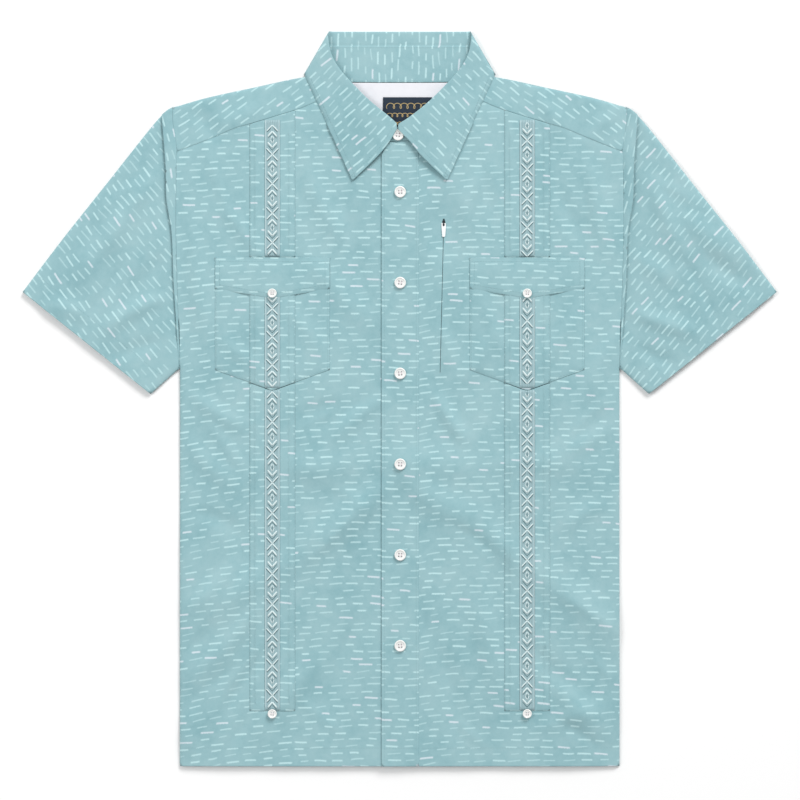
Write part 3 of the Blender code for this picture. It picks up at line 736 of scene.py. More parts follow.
# ------------------------------------------------------------------ yoke, lining and label
# The outer yoke lies under the shoulders, rolls over them and is sewn to the fronts below the
# shoulder, where the print runs down at a slant. Inside it is a plain white yoke, with the
# woven label sewn below the neck seam.
FOLD = 1.8 * MM  # height at which the two layers of a folded edge meet
YOKE_SLANT = 36  # the print runs down at this angle in front
NECK_SIDE_UP, NECK_SIDE_OUT, SHOULDER_SLOPE = 752.5, 98, 0.236  # the line of the shoulder fold

under = cut_line(plan_of("back_yoke", *UNDERSIDE)[0], 5 * MM)
yoke_parts = []
yoke_under_height = flat(BACK_TOP)
for outline, side, front_edge in zip(over, (-1, 1), (right_edge, left_edge)):
    shoulder = part_of(outline, lambda x, y: y > HEM_Y + MM * (
        NECK_SIDE_UP - SHOULDER_SLOPE * (abs(x) / MM - NECK_SIDE_OUT)))
    height = turned(level(LAYER_TOPS["back_yoke"]), shoulder, 4 * MM,
                    LAYER_TOPS["back_yoke"] - FOLD)
    height = turned(height, beside(outline, front_edge), 1.5 * MM, 0.15 * MM)
    yoke_under_height = turned(yoke_under_height, shoulder, 4 * MM, BACK_TOP - FOLD)
    yoke_parts.append(lay_cloth("yoke_front", [outline], height,
                                along_grain(-side * YOKE_SLANT, 40 * side, 11), 4 * MM))
yoke_parts.append(lay_cloth("yoke_under", [under], yoke_under_height,
                            along_grain(90, 12, 5), 7 * MM))
yoke = joined("back_yoke_cloth", yoke_parts)
dress(yoke, ["back_yoke"], PRINTED)

white = Finish("white_poplin", Roughness=0.85, Sheen_Weight=0.2)
cut = white.node("ShaderNodeUVMap", {"uv_map": "cut"})
shade = white.node("ShaderNodeTexNoise", None, {"Vector": cut, "Scale": 120.0, "Detail": 4.0})
white.feed(Base_Color=white.mix(shade, linear(222, 223, 229), linear(234, 234, 239)))
white.bump(shade, 0.4, 0.3 * MM)
lining_edge = cut_line(plan_of("yoke_lining")[0], 5 * MM)
lining = lay_cloth("yoke_lining_cloth", [lining_edge], flat(LAYER_TOPS["yoke_lining"]),
                   along_grain(0), 7 * MM)
dress(lining, ["yoke_lining"], white.material)


def ribbed(name, pitch, dark, light, **constants):
    """A narrow woven tape or label, with ribs across it at a pitch. It returns the ribs too."""
    woven = Finish(name, **constants)
    cut = woven.node("ShaderNodeUVMap", {"uv_map": "cut"})
    place = woven.node("ShaderNodeSeparateXYZ", None, {0: cut})
    ribs = (place["Y"] * (2 * math.pi / pitch)).maths("SINE")
    woven.feed(Base_Color=woven.mix(ribs * 0.5 + 0.5, dark, light))
    return woven, ribs


label_low, label_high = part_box("neck_label")
label_finish, ribs = ribbed("woven_navy", 0.5 * MM, linear(12, 30, 46), linear(20, 44, 66),
                            Roughness=0.7, Sheen_Weight=0.05)
label_finish.bump(ribs, 0.5, 0.12 * MM)
label = lay_cloth("neck_label_cloth", [cut_line(plan_of("neck_label")[0], 2 * MM)],
                  flat(label_high.z), along_grain(0), 3 * MM, 0.6 * MM)
label_wide, label_long = span("neck_label")
dress(label, ["neck_label"], label_finish.material)


class Threads:
    """Raised runs of thread, collected into one mesh."""

    def __init__(self):
        self.corners, self.faces = [], []

    def run(self, points, wide, high, height, taper=0.35, round_at=60):
        """A half-round run of thread along points in plan, lying on the cloth at height(x, y).
        Its two ends narrow to taper of its width. A small round_at makes its top flat."""
        points = np.asarray(points, float)
        across = leftward(points)
        share = np.linspace(-1, 1, len(points))
        narrow = taper + (1 - taper) * np.sqrt(np.maximum(1 - share**2, 0)) ** 0.6
        start = len(self.corners)
        angles = np.radians((0, round_at, 180 - round_at, 180))
        reach = np.cos(angles)[None, :, None] * (wide / 2 * narrow)[:, None, None]
        plan = (points[:, None] + across[:, None] * reach).reshape(-1, 2)
        rise = np.sin(angles)[None, :] * high * narrow[:, None]
        up = height(plan[:, 0], plan[:, 1]) + rise.ravel()
        self.corners += np.column_stack([plan, up]).tolist()
        for index in range(len(points) - 1):
            first = start + 4 * index
            for corner in range(3):
                self.faces.append((first + corner, first + corner + 1,
                                   first + corner + 5, first + corner + 4))
            self.faces.append((first + 3, first, first + 4, first + 7))
        self.faces.append(tuple(start + corner for corner in (3, 2, 1, 0)))
        last = start + 4 * (len(points) - 1)
        self.faces.append(tuple(last + corner for corner in (0, 1, 2, 3)))

    def piece(self, name, slot, finish):
        mesh = bpy.data.meshes.new(name)
        mesh.from_pydata(self.corners, [], self.faces)
        mesh.shade_smooth()
        dress(placed(name, mesh), [], finish)


def thread_finish(name, colour, **constants):
    """Twisted embroidery or sewing thread, with a fine twist across it."""
    finish = Finish(name, Roughness=0.5, Sheen_Weight=0.3, **constants)
    deep = tuple(0.82 * value for value in colour[:3]) + (1.0,)
    twist = finish.speckle(deep, colour, 1500.0)
    finish.bump(twist, 0.4, 0.1 * MM)
    return finish.material


# The label's own motif: three rows of running loops between its side margins
LOOP_ROWS = [
    {"down": 9.5, "loops": 6, "tall": 2.9},
    {"down": 19.5, "loops": 8, "tall": 2.0},
    {"down": 28.5, "loops": 8, "tall": 1.4},
]
LOOP_MARGIN = 4.5 * MM
LOOP_LEAN = 0.32  # how far each loop overhangs the next one, as a share of its width
gold = Threads()
turns = np.linspace(0.0, 1.0, 160)
for row in LOOP_ROWS:
    wide = (label_wide - 2 * LOOP_MARGIN) / row["loops"]
    angle = 2 * math.pi * row["loops"] * turns
    x = label_low.x + LOOP_MARGIN + wide * (row["loops"] * turns - LOOP_LEAN * np.sin(angle))
    y = label_high.y - (row["down"] + row["tall"] * np.cos(angle)) * MM
    gold.run(np.stack([x, y], axis=1), 0.85 * MM, 0.25 * MM, flat(label_high.z), 0.7)
gold.piece("label_motif", "neck_label", thread_finish("gold_thread", linear(196, 170, 112)))

# ------------------------------------------------------------------ placket
# The buttonhole band on the wearer's left: a folded strip of the same poplin, stitched down
# along both its edges, that lies over the right front.
SEWN_DROP = 0.85 * MM  # how far a sewn edge falls, to meet the cloth that it is sewn to
placket_edge = cut_line(plan_of("placket")[0], 4 * MM)
free = part_of(placket_edge, lambda x, y: x < -10 * MM)
sewn = part_of(placket_edge, lambda x, y: x > 10 * MM)
placket_height = settled(level(LAYER_TOPS["placket"]), sewn, 11 * MM, 0.95 * MM)
placket_height = settled(placket_height, free, 12 * MM, -0.5 * MM)
placket = lay_cloth("placket_cloth", [placket_edge], placket_height,
                    along_grain(0, 3, 4.5), 5 * MM, 0.8 * MM)
dress(placket, ["placket"], PRINTED)

# ------------------------------------------------------------------ sleeves
# Short sleeves, each one piece folded along its top and sewn under the arm. A narrow pleat of
# the sleeve lies over itself beside the armhole, because the sleeve points down.
PLEAT_HIGH = 1.0 * MM
SLEEVE_DASHES, PLEAT_DASHES = 51, 75  # how steep the print's dashes are
CUFF_INNER, CUFF_OUTER = (271.4, 405.3), (410.6, 516.4)  # the cuff's two ends, out and up
SHOULDER_FOLD, FOLD_SLOPE = (249, 716), 1.24  # the line that tells the fold from the armhole


def sleeve(node, side):
    """The lower layer, the upper one that meets it along the fold and under the arm, and the
    pleat."""
    bottom = cut_line(plan_of(node, *UNDERSIDE)[0], 5 * MM)
    top = cut_line(plan_of(node, 1, 3 * MM)[0], 4 * MM)
    pleat = cut_line(plan_of(node, 1, 4 * MM)[0], 4 * MM)
    base = LAYER_TOPS[node] - PLEAT_HIGH

    def along_fold(x, y):
        """Above the cuff's line and outside the shoulder, on the fold along the sleeve's top."""
        out, up = abs(x) / MM, (y - HEM_Y) / MM
        share = (out - CUFF_INNER[0]) / (CUFF_OUTER[0] - CUFF_INNER[0])
        cuff_up = CUFF_INNER[1] + (CUFF_OUTER[1] - CUFF_INNER[1]) * share
        return up > SHOULDER_FOLD[1] - FOLD_SLOPE * (out - SHOULDER_FOLD[0]) and up > cuff_up + 2

    fold = part_of(top, along_fold)
    underarm = part_of(top, lambda x, y: y < HEM_Y + 434 * MM
                       and abs(x) < (CUFF_INNER[0] + 0.5) * MM)
    armhole = part_of(top, lambda x, y: abs(x) < 250 * MM and y > HEM_Y + 432 * MM)
    crease = part_of(pleat, lambda x, y: distance_to(np.array([[x, y]]), armhole)[0] > 1.2 * MM)
    height, below = level(base), flat(BACK_TOP)
    for line in (fold, underarm):
        height = turned(height, line, 5 * MM, base - FOLD)
        below = turned(below, line, 4 * MM, BACK_TOP - FOLD)
    height = settled(turned(height, armhole, 3 * MM, 0.75 * MM), crease, 12 * MM, 2.0 * MM)
    seam = beside(pleat, armhole, 1.2 * MM)
    pleat_height = turned(level(LAYER_TOPS[node] + PLEAT_HIGH), crease, 1.5 * MM, 0.3 * MM)
    pleat_height = settled(pleat_height, seam, 7 * MM, 2.0 * MM)
    dashes = side * SLEEVE_DASHES
    parts = [
        lay_cloth("sleeve_over", [grown(top, armhole)], height,
                  along_grain(dashes, 13 * side, 9), 4 * MM),
        lay_cloth("sleeve_pleat", [grown(pleat, seam, 0.35 * MM)], pleat_height,
                  along_grain(side * PLEAT_DASHES, 5, 2), 3 * MM),
        lay_cloth("sleeve_under", [bottom], below, along_grain(-dashes, 3, 8), 7 * MM),
    ]
    made = joined(node + "_cloth", parts)
    dress(made, [node], PRINTED)


sleeve("sleeve_right", -1)
sleeve("sleeve_left", 1)

# ------------------------------------------------------------------ collar stand
# The stand is a fused band. Behind the neck it lies flat and shows its inside, and it comes
# round under the leaf to the collar button in front.
FUSED = 0.9 * MM  # thickness of poplin with its interlining
INSIDE_TOP = 2.3 * MM  # height of the collar's inside behind the neck
stand_behind = cut_line(plan_of("collar_stand", 1, 2 * MM, 2.6 * MM)[0], 3 * MM)
stand_fronts = [cut_line(outline, 3 * MM) for outline in plan_of("collar_stand", 1, 4 * MM)]
stand_parts = [lay_cloth("stand_behind", [stand_behind], flat(INSIDE_TOP),
                         along_grain(90, 3, 8), 4 * MM, FUSED)]
stand_parts += [lay_cloth("stand_front", [outline], level(LAYER_TOPS["collar_stand"]),
                          along_grain(20, 3, 8), 4 * MM, FUSED) for outline in stand_fronts]
stand = joined("collar_stand_cloth", stand_parts)
dress(stand, ["collar_stand"], PRINTED)

# ------------------------------------------------------------------ collar leaf
# The leaf is fused too, and keeps its shape. It falls behind the neck, turns over at the two
# side creases and the roll line, and lies on the fronts in two long points.
LEAF_SLANT = 44
SIDE_CREASE = ((77.1, 800.0), (104.3, 753.0))  # from the top of the roll to the shoulder
ROLL_FOOT_UP = 699


def surface_of(node, low):
    """The height of a CAD node's upper faces in plan."""
    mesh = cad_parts[node].data
    faces = [tuple(face.vertices) for face in mesh.polygons
             if face.normal.z > LOOKS_UP and face.center.z > low]
    tree = BVHTree.FromPolygons([tuple(vertex.co) for vertex in mesh.vertices], faces)

    def height(x, y):
        found = []
        for point in np.column_stack([x, y]):
            hit = tree.ray_cast(Vector((*point, 1.0)), Vector((0, 0, -1)))[0]
            if hit is None:
                hit = tree.find_nearest(Vector((*point, 8 * MM)))[0]
            found.append(hit.z)
        return np.array(found)

    return height


leaf_surface = surface_of("collar_leaf", 5 * MM)


def leaf_height(x, y):
    """The upper surface of the leaf, which follows the shirt's relief."""
    return leaf_surface(x, y) + lie(x, y)


wings = [cut_line(outline, 2.5 * MM, 18)
         for outline in from_right(plan_of("collar_leaf", 1, 5 * MM))]
inner = cut_line(plan_of("collar_leaf", 1, 2 * MM, 2.6 * MM)[0], 3 * MM)
fall = cut_line(plan_of("collar_leaf", *UNDERSIDE)[0], 4 * MM)
creases = [np.array([(side * out * MM, HEM_Y + up * MM) for out, up in SIDE_CREASE])
           for side in (-1, 1)]
crest = np.array([creases[0][0], creases[1][0]])
leaf_parts = []
fall_height = flat(FUSED)
for outline, crease, side in zip(wings, creases, (-1, 1)):
    def on_roll(x, y):
        """Whether a point of the wing's edge is on the roll, not on its front or its crease."""
        out, up = abs(x) / MM, (y - HEM_Y) / MM
        behind_front = out >= 78.5 or up > 650 + 2.05 * out
        off_crease = distance_to(np.array([[x, y]]), crease)[0] > 1.2 * MM
        return up > ROLL_FOOT_UP and off_crease and behind_front

    outer = part_of(outline, lambda x, y: abs(x) > 51 * MM and y < crease[1][1] - 1 * MM)
    height = turned(leaf_height, outer, 12 * MM, 0.4 * MM)
    height = turned(height, part_of(outline, on_roll), 5 * MM, 3.0 * MM)
    height = turned(height, crease, 4 * MM, 4.2 * MM)
    leaf_parts.append(lay_cloth("wing", [outline], height,
                                along_grain(-side * LEAF_SLANT, 9, 6), 3 * MM, FUSED))
    fall_height = turned(fall_height, crease, 4 * MM, FUSED - 4.4 * MM)
leaf_parts.append(lay_cloth("fall", [fall], turned(fall_height, crest, 2 * MM, -0.6 * MM),
                            along_grain(0, 9, 6), 4 * MM, FUSED))
seam = beside(inner, stand_behind)
inner = grown(inner, seam)
inner_height = turned(flat(INSIDE_TOP), crest, 2 * MM, 0.6 * MM)
leaf_parts.append(lay_cloth("inside", [inner], turned(inner_height, seam, 3 * MM, 0.5 * MM),
                            along_grain(90, 3, 8.5), 3 * MM, FUSED))
leaf = joined("collar_leaf_cloth", leaf_parts)
dress(leaf, ["collar_leaf"], PRINTED)

# ------------------------------------------------------------------ pockets and flaps
# Patch pockets of the same poplin with a shallow point, turned in and sewn on round three
# sides. Double flaps with the same point are sewn on above them, and lie over their mouths.
SIDES = (("right", -1), ("left", 1))
EDGES, HEIGHTS = {}, {}  # of each pocket, flap and band
FLAP_TOP, OVER_BAND = 5.6 * MM, 1.6 * MM


def top_of(edge):
    """A pocket's or flap's straight top edge."""
    return part_of(edge, lambda x, y: y > edge[:, 1].max() - 0.5 * MM)


def below_top(edge):
    """All of its edge but the top."""
    return part_of(edge, lambda x, y: y < edge[:, 1].max() - 1 * MM)


def flap_height(edge, foot):
    """The flap is hinged on the front at its top and lies over the pocket and, in the middle,
    over the pocket's band."""
    middle = (edge[:, 0].min() + edge[:, 0].max()) / 2
    hinge = top_of(edge)

    def draped(x, y):
        over_band = smooth((50 * MM - np.abs(x - middle)) / (26 * MM))
        return FLAP_TOP + OVER_BAND * over_band + lie(x, y)

    return settled(settled(draped, hinge, 16 * MM, 1.0 * MM), foot, 7 * MM, 0.9 * MM)


for word, side in SIDES:
    for kind in ("pocket", "pocket_flap"):
        node = "%s_%s" % (kind, word)
        edge = cut_line(plan_of(node)[0], 3 * MM, 8)
        EDGES[node] = edge
        foot = below_top(edge)
        if kind == "pocket":
            height = settled(level(LAYER_TOPS[node]), foot, 9 * MM, SEWN_DROP)
            rests = ["front_%s_cloth" % word]
        else:
            height = flap_height(edge, foot)
            rests = ["pocket_%s_cloth" % word]
            edge = grown(edge, top_of(edge))
        HEIGHTS[node] = height
        piece = lay_cloth(node + "_cloth", [edge], height,
                          along_grain(-1.5 * side, 17 * side, 4 if kind == "pocket" else 6.5),
                          4 * MM)
        dress(piece, [node], PRINTED)

# ------------------------------------------------------------------ bands and embroidery
# Bands of the same poplin run from the yoke nearly to the hem, over the pocket too. Each has a
# pin tuck down both sides and a machine-embroidered stripe of crosses, arrowheads and leaves.
TUCKS = (-18.4 * MM, 18.4 * MM)
TUCK_HIGH = 0.6 * MM
TUCK_HALF = 0.7 * MM
REPEAT = 32.9  # length of the stripe's repeat, as it is drawn below
REPEATS = range(-6, 16)  # before and after the first cross, more than any band needs
BAND_HALF = 24.9 * MM
# Where the stripe's first cross lies on each band, and how long its repeat came out there
STRIPES = {
    "upper_band_right": (665.8, 32.0),
    "pocket_band_right": (497.9, 30.6),
    "lower_band_right": (374.7, 33.05),
    "upper_band_left": (681.0, 31.6),
    "pocket_band_left": (484.8, 34.3),
    "lower_band_left": (388.9, 32.9),
}
# One repeat of the stripe, measured down from the middle of a cross. Each row is one arm, made
# on both sides of the centre line: where it starts and ends, how wide it is, and whether it is a
# light thread (1) or a dark thread of painted shade (0), which lies just below a light one.
ARM_COLUMNS = ("x", "y", "to_x", "to_y", "wide", "light")
ARMS = [dict(zip(ARM_COLUMNS, row)) for row in (
    (0.0, 0.0, 6.3, 6.9, 1.6, 1),
    (0.0, 0.0, 6.3, -6.9, 1.6, 1),
    (1.7, 0.2, 7.0, 6.0, 1.0, 0),
    (1.2, -2.9, 5.6, -7.8, 1.0, 0),
    (0.0, -7.0, 5.0, -13.0, 2.1, 1),
    (0.0, -9.5, 4.6, -14.7, 0.85, 0),
    (0.0, -25.2, 5.0, -19.2, 2.1, 1),
    (0.0, -28.2, 5.0, -22.4, 0.9, 0),
    (0.3, -12.2, 2.0, -16.2, 1.1, 1),
    (0.3, -20.2, 2.0, -16.2, 1.1, 1),
    (0.5, -14.4, 0.5, -18.4, 0.6, 0),
)]
BORDER = 7.5 * MM
SATIN_COLUMNS = 6
# The shade thread is painted shade: dark lines below and beside the light threads and the border
# lines, where their shade falls.
light_thread, grey_thread, edge_thread, satin = (Threads() for _ in range(4))


def tucked(high, centre):
    """The height of a band: flat, with a pin tuck down each side."""
    def height(x, y):
        rise = np.zeros_like(x)
        for tuck in TUCKS:
            rise += np.clip(1 - np.abs(x - centre - tuck) / TUCK_HALF, 0, 1)
        return high + lie(x, y) + TUCK_HIGH * rise

    return height


def embroider(node, centre, low, high, ground):
    """The stripe on one band between two heights."""
    first, repeat = STRIPES[node]
    column = 2 * BORDER / SATIN_COLUMNS
    for number in range(SATIN_COLUMNS):
        x = centre - BORDER + (number + 0.5) * column
        satin.run(spaced([(x, low + 0.6 * MM), (x, high - 0.6 * MM)], 3 * MM),
                  1.03 * column, 0.5 * MM, ground, 0.98, 10)
    for number in REPEATS:
        for arm in ARMS:
            rows = [HEM_Y + (first - number * repeat + up * repeat / REPEAT) * MM
                    for up in (arm["y"], arm["to_y"])]
            if not low + 0.8 * MM < min(rows) <= max(rows) < high - 0.8 * MM:
                continue
            # Arms whose light is 0 are painted shade, drawn as dark thread.
            threads = light_thread if arm["light"] else grey_thread
            for side in (-1, 1):
                ends = [(centre + side * out * MM, y)
                        for out, y in zip((arm["x"], arm["to_x"]), rows)]
                threads.run(spaced(ends, 1.6 * MM), arm["wide"] * MM,
                            (0.12 + 0.28 * arm["wide"]) * MM, ground, 0.6)
    for side in (-1, 1):
        # A thin dark thread of painted shade runs just outside each border line.
        for shift, wide, threads in ((0, 0.9, edge_thread), (0.8, 0.35, grey_thread)):
            x = centre + side * (BORDER + shift * MM)
            threads.run(spaced([(x, low + 1 * MM), (x, high - 1 * MM)], 4 * MM), wide * MM,
                        0.2 * MM, ground, 0.9)


for word, side in SIDES:
    centre = side * BAND_CENTRE
    for kind, rests in (("upper", "front"), ("pocket", "pocket"), ("lower", "front")):
        node = "%s_band_%s" % (kind, word)
        base = LAYER_TOPS[node] - TUCK_HIGH
        low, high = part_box(node)
        edge = cut_line(plan_of(node, -1)[0], 3 * MM, 8)
        top_cut = edge[:, 1].max() - 18 * MM * (kind == "upper")
        lines = [np.array([(centre + tuck + shift * TUCK_HALF, y) for y in
                           np.arange(low.y + 10 * MM, top_cut - 4 * MM, 5 * MM)])
                 for tuck in TUCKS for shift in (-1, 0, 1)]
        rim = part_of(edge, lambda x, y: y < high.y - 14 * MM
                      or abs(x - centre) > BAND_HALF - 0.9 * MM)
        height = settled(tucked(base, centre), rim, 5 * MM, SEWN_DROP)
        band = lay_cloth(node + "_cloth", [edge], height,
                         along_grain(0, 11 * side, 2 + 3 * (kind == "pocket")), 4 * MM,
                         POPLIN, lines)
        EDGES[node], HEIGHTS[node] = edge, height
        dress(band, [node], PRINTED)
        middle = edge[np.abs(edge[:, 0] - centre) < 8 * MM]
        upper, lower = middle[:, 1].max(), middle[middle[:, 1] < middle[:, 1].mean(), 1].max()
        if kind == "upper":
            upper = middle[middle[:, 1] > middle[:, 1].mean(), 1].min()
        if kind == "pocket":
            upper = EDGES["pocket_flap_" + word][:, 1].min() + 4 * MM
        embroider(node, centre, lower, upper, height)
# The shade thread's dark teal is painted shade beside the light threads.
for threads, name, colour in ((light_thread, "light_thread", linear(220, 238, 239)),
                              (grey_thread, "grey_thread", linear(74, 114, 122)),
                              (edge_thread, "edge_thread", linear(196, 219, 223)),
                              (satin, "satin_ground", linear(156, 188, 194))):
    threads.piece("embroidery_" + name, "upper_band_left", thread_finish(name, colour))

# ------------------------------------------------------------------ stitching
# Single-needle lockstitch in matching thread, sunk a little into the cloth: along every edge
# that is turned and sewn down, and the hems.
STITCH, STITCH_GAP = 2.3 * MM, 0.7 * MM
SEWING_WIDE, SEWING_HIGH = 0.42 * MM, 0.12 * MM
HEM_DEEP, CUFF_DEEP = 20 * MM, 25 * MM
CUFF_INWARDS = (0.623, 0.782)  # the direction from the cuff's edge up the sleeve
POCKET_STITCH, LEAF_STITCH = 2 * MM, 5 * MM  # in from the edge; the flaps have the leaf's
# The seams behind the neck, which show inside the collar: how high, and their half lengths
NECK_SEAMS = [
    {"up": 782.4, "half": 84},
    {"up": 746.6, "half": 48},
]
sewing = Threads()


def sew(line, height):
    """A row of stitches along a line in plan."""
    points = spaced(line, STITCH + STITCH_GAP)
    for start, end in zip(points, points[1:]):
        last = start + (end - start) * STITCH / (STITCH + STITCH_GAP)
        sewing.run(np.linspace(start, last, 3), SEWING_WIDE, SEWING_HIGH, height, 0.3)


def inset(line, amount):
    """A line moved to its left by an amount."""
    return line + amount * leftward(line)


fronts = level(LAYER_TOPS["front_right"])
hem_y = HEM_Y + HEM_DEEP
for x_0, x_1, height in ((-HALF_CHEST + 6 * MM, -22 * MM, fronts),
                         (24 * MM, HALF_CHEST - 6 * MM, fronts),
                         (-18 * MM, 19 * MM, placket_height)):
    sew([(x_0, hem_y), (x_1, hem_y)], height)
placket_low, placket_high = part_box("placket")
for x in (placket_low.x + 3 * MM, placket_high.x - 3 * MM):
    sew([(x, HEM_Y + 3 * MM), (x, placket_high.y - 14 * MM)], placket_height)
for word, side in SIDES:
    for kind, margin in (("pocket", POCKET_STITCH), ("pocket_flap", LEAF_STITCH)):
        node = "%s_%s" % (kind, word)
        edge = EDGES[node]
        sew(inset(below_top(edge), margin), HEIGHTS[node])
    top = edge[:, 1].max() - 3 * MM
    sew([(side * 78 * MM, top), (side * 198 * MM, top)], HEIGHTS[node])
    for kind in ("upper", "pocket", "lower"):
        node = "%s_band_%s" % (kind, word)
        edge = EDGES[node]
        for x in (edge[:, 0].min() + 1.2 * MM, edge[:, 0].max() - 1.2 * MM):
            near = edge[np.abs(edge[:, 0] - x) < 4 * MM, 1]
            sew([(x, near.min() + 3 * MM), (x, near.max() - 5 * MM)], HEIGHTS[node])
    cuff = np.array([(side * (CUFF_INNER[0] + 2.6), CUFF_INNER[1]),
                     (side * (CUFF_OUTER[0] - 2.6), CUFF_OUTER[1] - 3.0)]) * MM + (0.0, HEM_Y)
    inwards = np.array([-side * CUFF_INWARDS[0], CUFF_INWARDS[1]])
    sew(cuff + inwards * CUFF_DEEP, level(LAYER_TOPS["sleeve_" + word] - PLEAT_HIGH))
for outline in wings:
    edge = part_of(outline, lambda x, y: y < HEM_Y + 748 * MM and (
        y < HEM_Y + 696 * MM or abs(x) > 70 * MM))
    sew(inset(edge, LEAF_STITCH), leaf_height)
for row in NECK_SEAMS:
    sew([(end * row["half"] * MM, HEM_Y + row["up"] * MM) for end in (-1, 1)], flat(INSIDE_TOP))
sewing.piece("stitching", "front_left", thread_finish("sewing_thread", linear(134, 177, 183)))

# ------------------------------------------------------------------ buttons
# Shell-white buttons turned with a raised rim and drilled with four holes, each sewn on with
# white thread. The worked buttonholes under the front ones run along the placket.
BUTTON_RADIUS, BUTTON_THICK = 6.35 * MM, 2.4 * MM
PROFILE = [(0.80, 0.0), (0.93, 0.14), (1.0, 0.42), (0.99, 0.70), (0.93, 0.92), (0.85, 1.0),
           (0.77, 0.95), (0.70, 0.80), (0.62, 0.68), (0.52, 0.64)]
HOLE_AT, HOLE_RADIUS = 1.45 * MM, 0.8 * MM
HOLE_LONG, HOLE_SLIT = 7.2 * MM, 0.75 * MM  # half length of a buttonhole, and its stitched sides
ROUND, HOLE_ROUND = 64, 20


def button_mesh():
    """Turned from its profile. The flat middle is cut round four holes that go right through."""
    circle = [(math.cos(2 * math.pi * step / ROUND), math.sin(2 * math.pi * step / ROUND))
              for step in range(ROUND)]
    corners, faces, rings = [], [], []
    for radius, high in PROFILE:
        rings.append(len(corners))
        corners += [(x * radius * BUTTON_RADIUS, y * radius * BUTTON_RADIUS, high * BUTTON_THICK)
                    for x, y in circle]
    for first, second in zip(rings, rings[1:]):
        for step in range(ROUND):
            after = (step + 1) % ROUND
            faces.append((first + step, first + after, second + after, second + step))
    holes = []
    for x, y in ((-1, -1), (1, -1), (1, 1), (-1, 1)):
        angles = [2 * math.pi * step / HOLE_ROUND for step in range(HOLE_ROUND)]
        holes.append([(x * HOLE_AT + HOLE_RADIUS * math.cos(angle),
                       y * HOLE_AT + HOLE_RADIUS * math.sin(angle)) for angle in angles])
    starts = []
    for ring, (radius, high), up in ((rings[-1], PROFILE[-1], True), (rings[0], PROFILE[0], False)):
        rim = [(x * radius * BUTTON_RADIUS, y * radius * BUTTON_RADIUS) for x, y in circle]
        plan = rim + [point for hole in holes for point in hole]
        edges = [(step, (step + 1) % ROUND) for step in range(ROUND)]
        for number in range(len(holes)):
            start = ROUND + HOLE_ROUND * number
            edges += [(start + step, start + (step + 1) % HOLE_ROUND)
                      for step in range(HOLE_ROUND)]
        points, _, cells, _, _, _ = delaunay_2d_cdt([Vector(p) for p in plan], edges, [], 0, 1e-7)
        middle = np.array([np.mean([points[i][:] for i in cell], axis=0) for cell in cells])
        solid = inside(middle, [np.array(rim)] + [np.array(hole) for hole in holes])
        start = len(corners)
        starts.append(start)
        corners += [(point.x, point.y, high * BUTTON_THICK) for point in points[ROUND:]]
        for cell, kept in zip(cells, solid):
            if kept:
                face = [ring + index if index < ROUND else start + index - ROUND
                        for index in cell]
                faces.append(tuple(face if up else face[::-1]))
    for number in range(len(holes)):
        for step in range(HOLE_ROUND):
            pair = [HOLE_ROUND * number + (step + turn) % HOLE_ROUND for turn in (0, 1)]
            faces.append((starts[1] + pair[1], starts[1] + pair[0],
                          starts[0] + pair[0], starts[0] + pair[1]))
    mesh = bpy.data.meshes.new("button")
    mesh.from_pydata(corners, [], faces)
    mesh.shade_smooth()
    mesh.set_sharp_from_angle(angle=math.radians(50))
    return mesh


shell = Finish("shell_white", Coat_Weight=0.4, Coat_Roughness=0.12)
growth = shell.speckle(linear(222, 226, 226), linear(246, 244, 240), 260.0,
                       Detail=3.0, Distortion=1.5)
shell.feed(Roughness=growth * 0.15 + 0.15)
button_threads, buttonholes = Threads(), Threads()
blank = button_mesh()
for node in sorted(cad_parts):
    if not node.startswith("button"):
        continue
    low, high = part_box(node)
    middle = (low + high) / 2
    scale = (high.x - low.x) / 2 / BUTTON_RADIUS
    mesh = blank.copy()
    for vertex in mesh.vertices:
        vertex.co = vertex.co * scale
    button = placed(node + "_shell", mesh)
    rise = float(lie(np.array([middle.x]), np.array([middle.y]))[0])
    button.location = (middle.x, middle.y, low.z + rise)
    turn = 0.12 * math.sin(40 * middle.y + 9 * middle.x)
    button.rotation_euler = (0.0, 0.0, turn)
    dress(button, [node], shell.material)
    if node.startswith("button_front"):
        for x in (middle.x - HOLE_SLIT, middle.x + HOLE_SLIT):
            ends = [(x, middle.y - HOLE_LONG), (x, middle.y + HOLE_LONG)]
            buttonholes.run(spaced(ends, 1 * MM), 1.3 * MM, 0.35 * MM, placket_height, 0.7)
    dish = low.z + rise + PROFILE[-1][1] * BUTTON_THICK * scale
    for x in (-1, 1):
        ends = np.array([(x * HOLE_AT * scale, y * HOLE_AT * scale * 1.15) for y in (-1, 1)])
        cosine, sine = math.cos(turn), math.sin(turn)
        ends = ends @ np.array([[cosine, sine], [-sine, cosine]]) + middle.xy
        button_threads.run(spaced(ends, 0.8 * MM), 1.0 * MM * scale, 0.35 * MM * scale,
                           flat(dish - 0.05 * MM), 0.6)
buttonholes.piece("buttonhole_thread", "placket",
                  thread_finish("buttonhole_thread", linear(160, 196, 201)))
button_threads.piece("button_thread", "button_front_1",
                     thread_finish("white_thread", linear(228, 214, 220)))

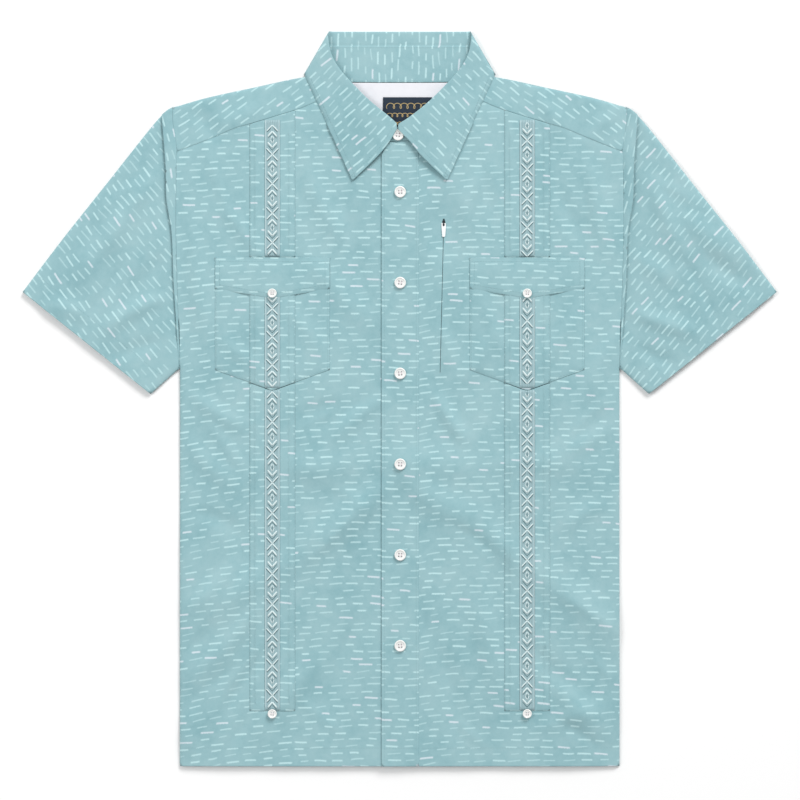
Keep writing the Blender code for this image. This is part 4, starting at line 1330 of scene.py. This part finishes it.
# ------------------------------------------------------------------ zip
# A nylon coil zip on a woven tape, behind the slit of the hidden pocket. The slider is shut at
# the top, and only its pull tab can move: it flips up and down on the slider's bridge.
TOOTH_PITCH = 1.6 * MM
TOOTH_IN, TOOTH_OUT = 0.2 * MM, 2.1 * MM
tape_top = LAYER_TOPS["zip_tape"]
tape = lay_cloth("zip_tape_cloth", [cut_line(plan_of("zip_tape")[0], 4 * MM)],
                 flat(tape_top), along_grain(90), 4 * MM, 0.6 * MM)
tape_finish, _ = ribbed("woven_tape", 0.8 * MM, linear(62, 92, 98), linear(84, 118, 124),
                        Roughness=0.8)
dress(tape, ["zip_tape"], tape_finish.material)
coil = Threads()
for y in np.arange(foot_y + 2 * MM, top_y - 8 * MM, TOOTH_PITCH):
    for side in (-1, 1):
        tooth_y = y + side * TOOTH_PITCH / 4
        ends = [(zip_x(y) + side * TOOTH_IN, tooth_y), (zip_x(y) + side * TOOTH_OUT, tooth_y)]
        coil.run(spaced(ends, 0.6 * MM), 0.75 * MM, 0.55 * MM, flat(tape_top), 0.7)
coil.piece("zip_coil", "zip_tape", thread_finish("coil_nylon", linear(58, 84, 90)))


def eased(node, width, name, finish, body):
    """A CAD node's shape with its edges rounded."""
    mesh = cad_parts[node].data.copy()
    piece = placed(name, mesh)
    weld = piece.modifiers.new("weld", "WELD")
    weld.merge_threshold = 0.005 * MM
    bevel = piece.modifiers.new("bevel", "BEVEL")
    bevel.width = width
    bevel.segments = 3
    bevel.limit_method = "ANGLE"
    bevel.angle_limit = math.radians(30)
    mesh.shade_smooth()
    dress(piece, [node], finish, body=body)


gunmetal = Finish("blackened_zinc", Metallic=0.9, Roughness=0.35)
gunmetal.speckle(linear(40, 42, 46), linear(84, 88, 92), 900.0)
moulded = Finish("moulded_white")
cloudy = moulded.speckle(linear(232, 236, 238), linear(250, 252, 252), 600.0)
moulded.feed(Roughness=cloudy * 0.1 + 0.33)
eased("zip_slider", 0.15 * MM, "zip_slider_cast", gunmetal.material, "shirt")
eased("zip_pull_tab", 0.2 * MM, "zip_pull_tab_moulded", moulded.material, "zip_pull")

# ------------------------------------------------------------------ floor, light and camera
# A plain white table top that the shirt lies on. Soft light comes from beyond the collar, with
# a weak fill from the wearer's right, and the view is from straight above.
FLOOR_HALF, FLOOR_Z = 3.0, -0.3 * MM
FLOOR_GREY, SKY_STRENGTH = 0.93, 0.55
mesh = bpy.data.meshes.new("floor")
mesh.from_pydata([(x * FLOOR_HALF, y * FLOOR_HALF, FLOOR_Z)
                  for x, y in ((-1, -1), (1, -1), (1, 1), (-1, 1))], [], [(0, 1, 2, 3)])
floor = placed("floor", mesh)
paper = Finish("white_table", Roughness=0.9)
paper.shader.inputs["Base Color"].default_value = (*[FLOOR_GREY] * 3, 1.0)
mesh.materials.append(paper.material)


def soft_light(name, place, size, power):
    """A square area light aimed at the middle of the shirt."""
    light = bpy.data.lights.new(name, "AREA")
    light.size = size
    light.energy = power
    lamp = placed(name, light)
    lamp.location = place
    aim = Vector((0.0, 0.0, 0.0)) - Vector(place)
    lamp.rotation_euler = aim.to_track_quat("-Z", "Y").to_euler()


soft_light("key", (2.8, 5.6, 4.4), 3.0, 420.0)
soft_light("fill", (-2.6, 0.6, 3.0), 1.8, 43.0)
world = bpy.data.worlds.new("studio")
world.use_nodes = True
world.node_tree.nodes["Background"].inputs["Color"].default_value = (1.0, 1.0, 1.0, 1.0)
world.node_tree.nodes["Background"].inputs["Strength"].default_value = SKY_STRENGTH
bpy.context.scene.world = world
bpy.context.scene.view_settings.view_transform = "Standard"

VIEW_WIDE = 0.872
CAMERA_OVER, CAMERA_HIGH = (0.0003, -0.0013), 3.2
SENSOR = 36.0
camera_data = bpy.data.cameras.new("camera")
camera_data.sensor_width = SENSOR
camera_data.lens = SENSOR * CAMERA_HIGH / VIEW_WIDE
camera = placed("camera", camera_data)
camera.location = (*CAMERA_OVER, CAMERA_HIGH)
bpy.context.scene.camera = camera
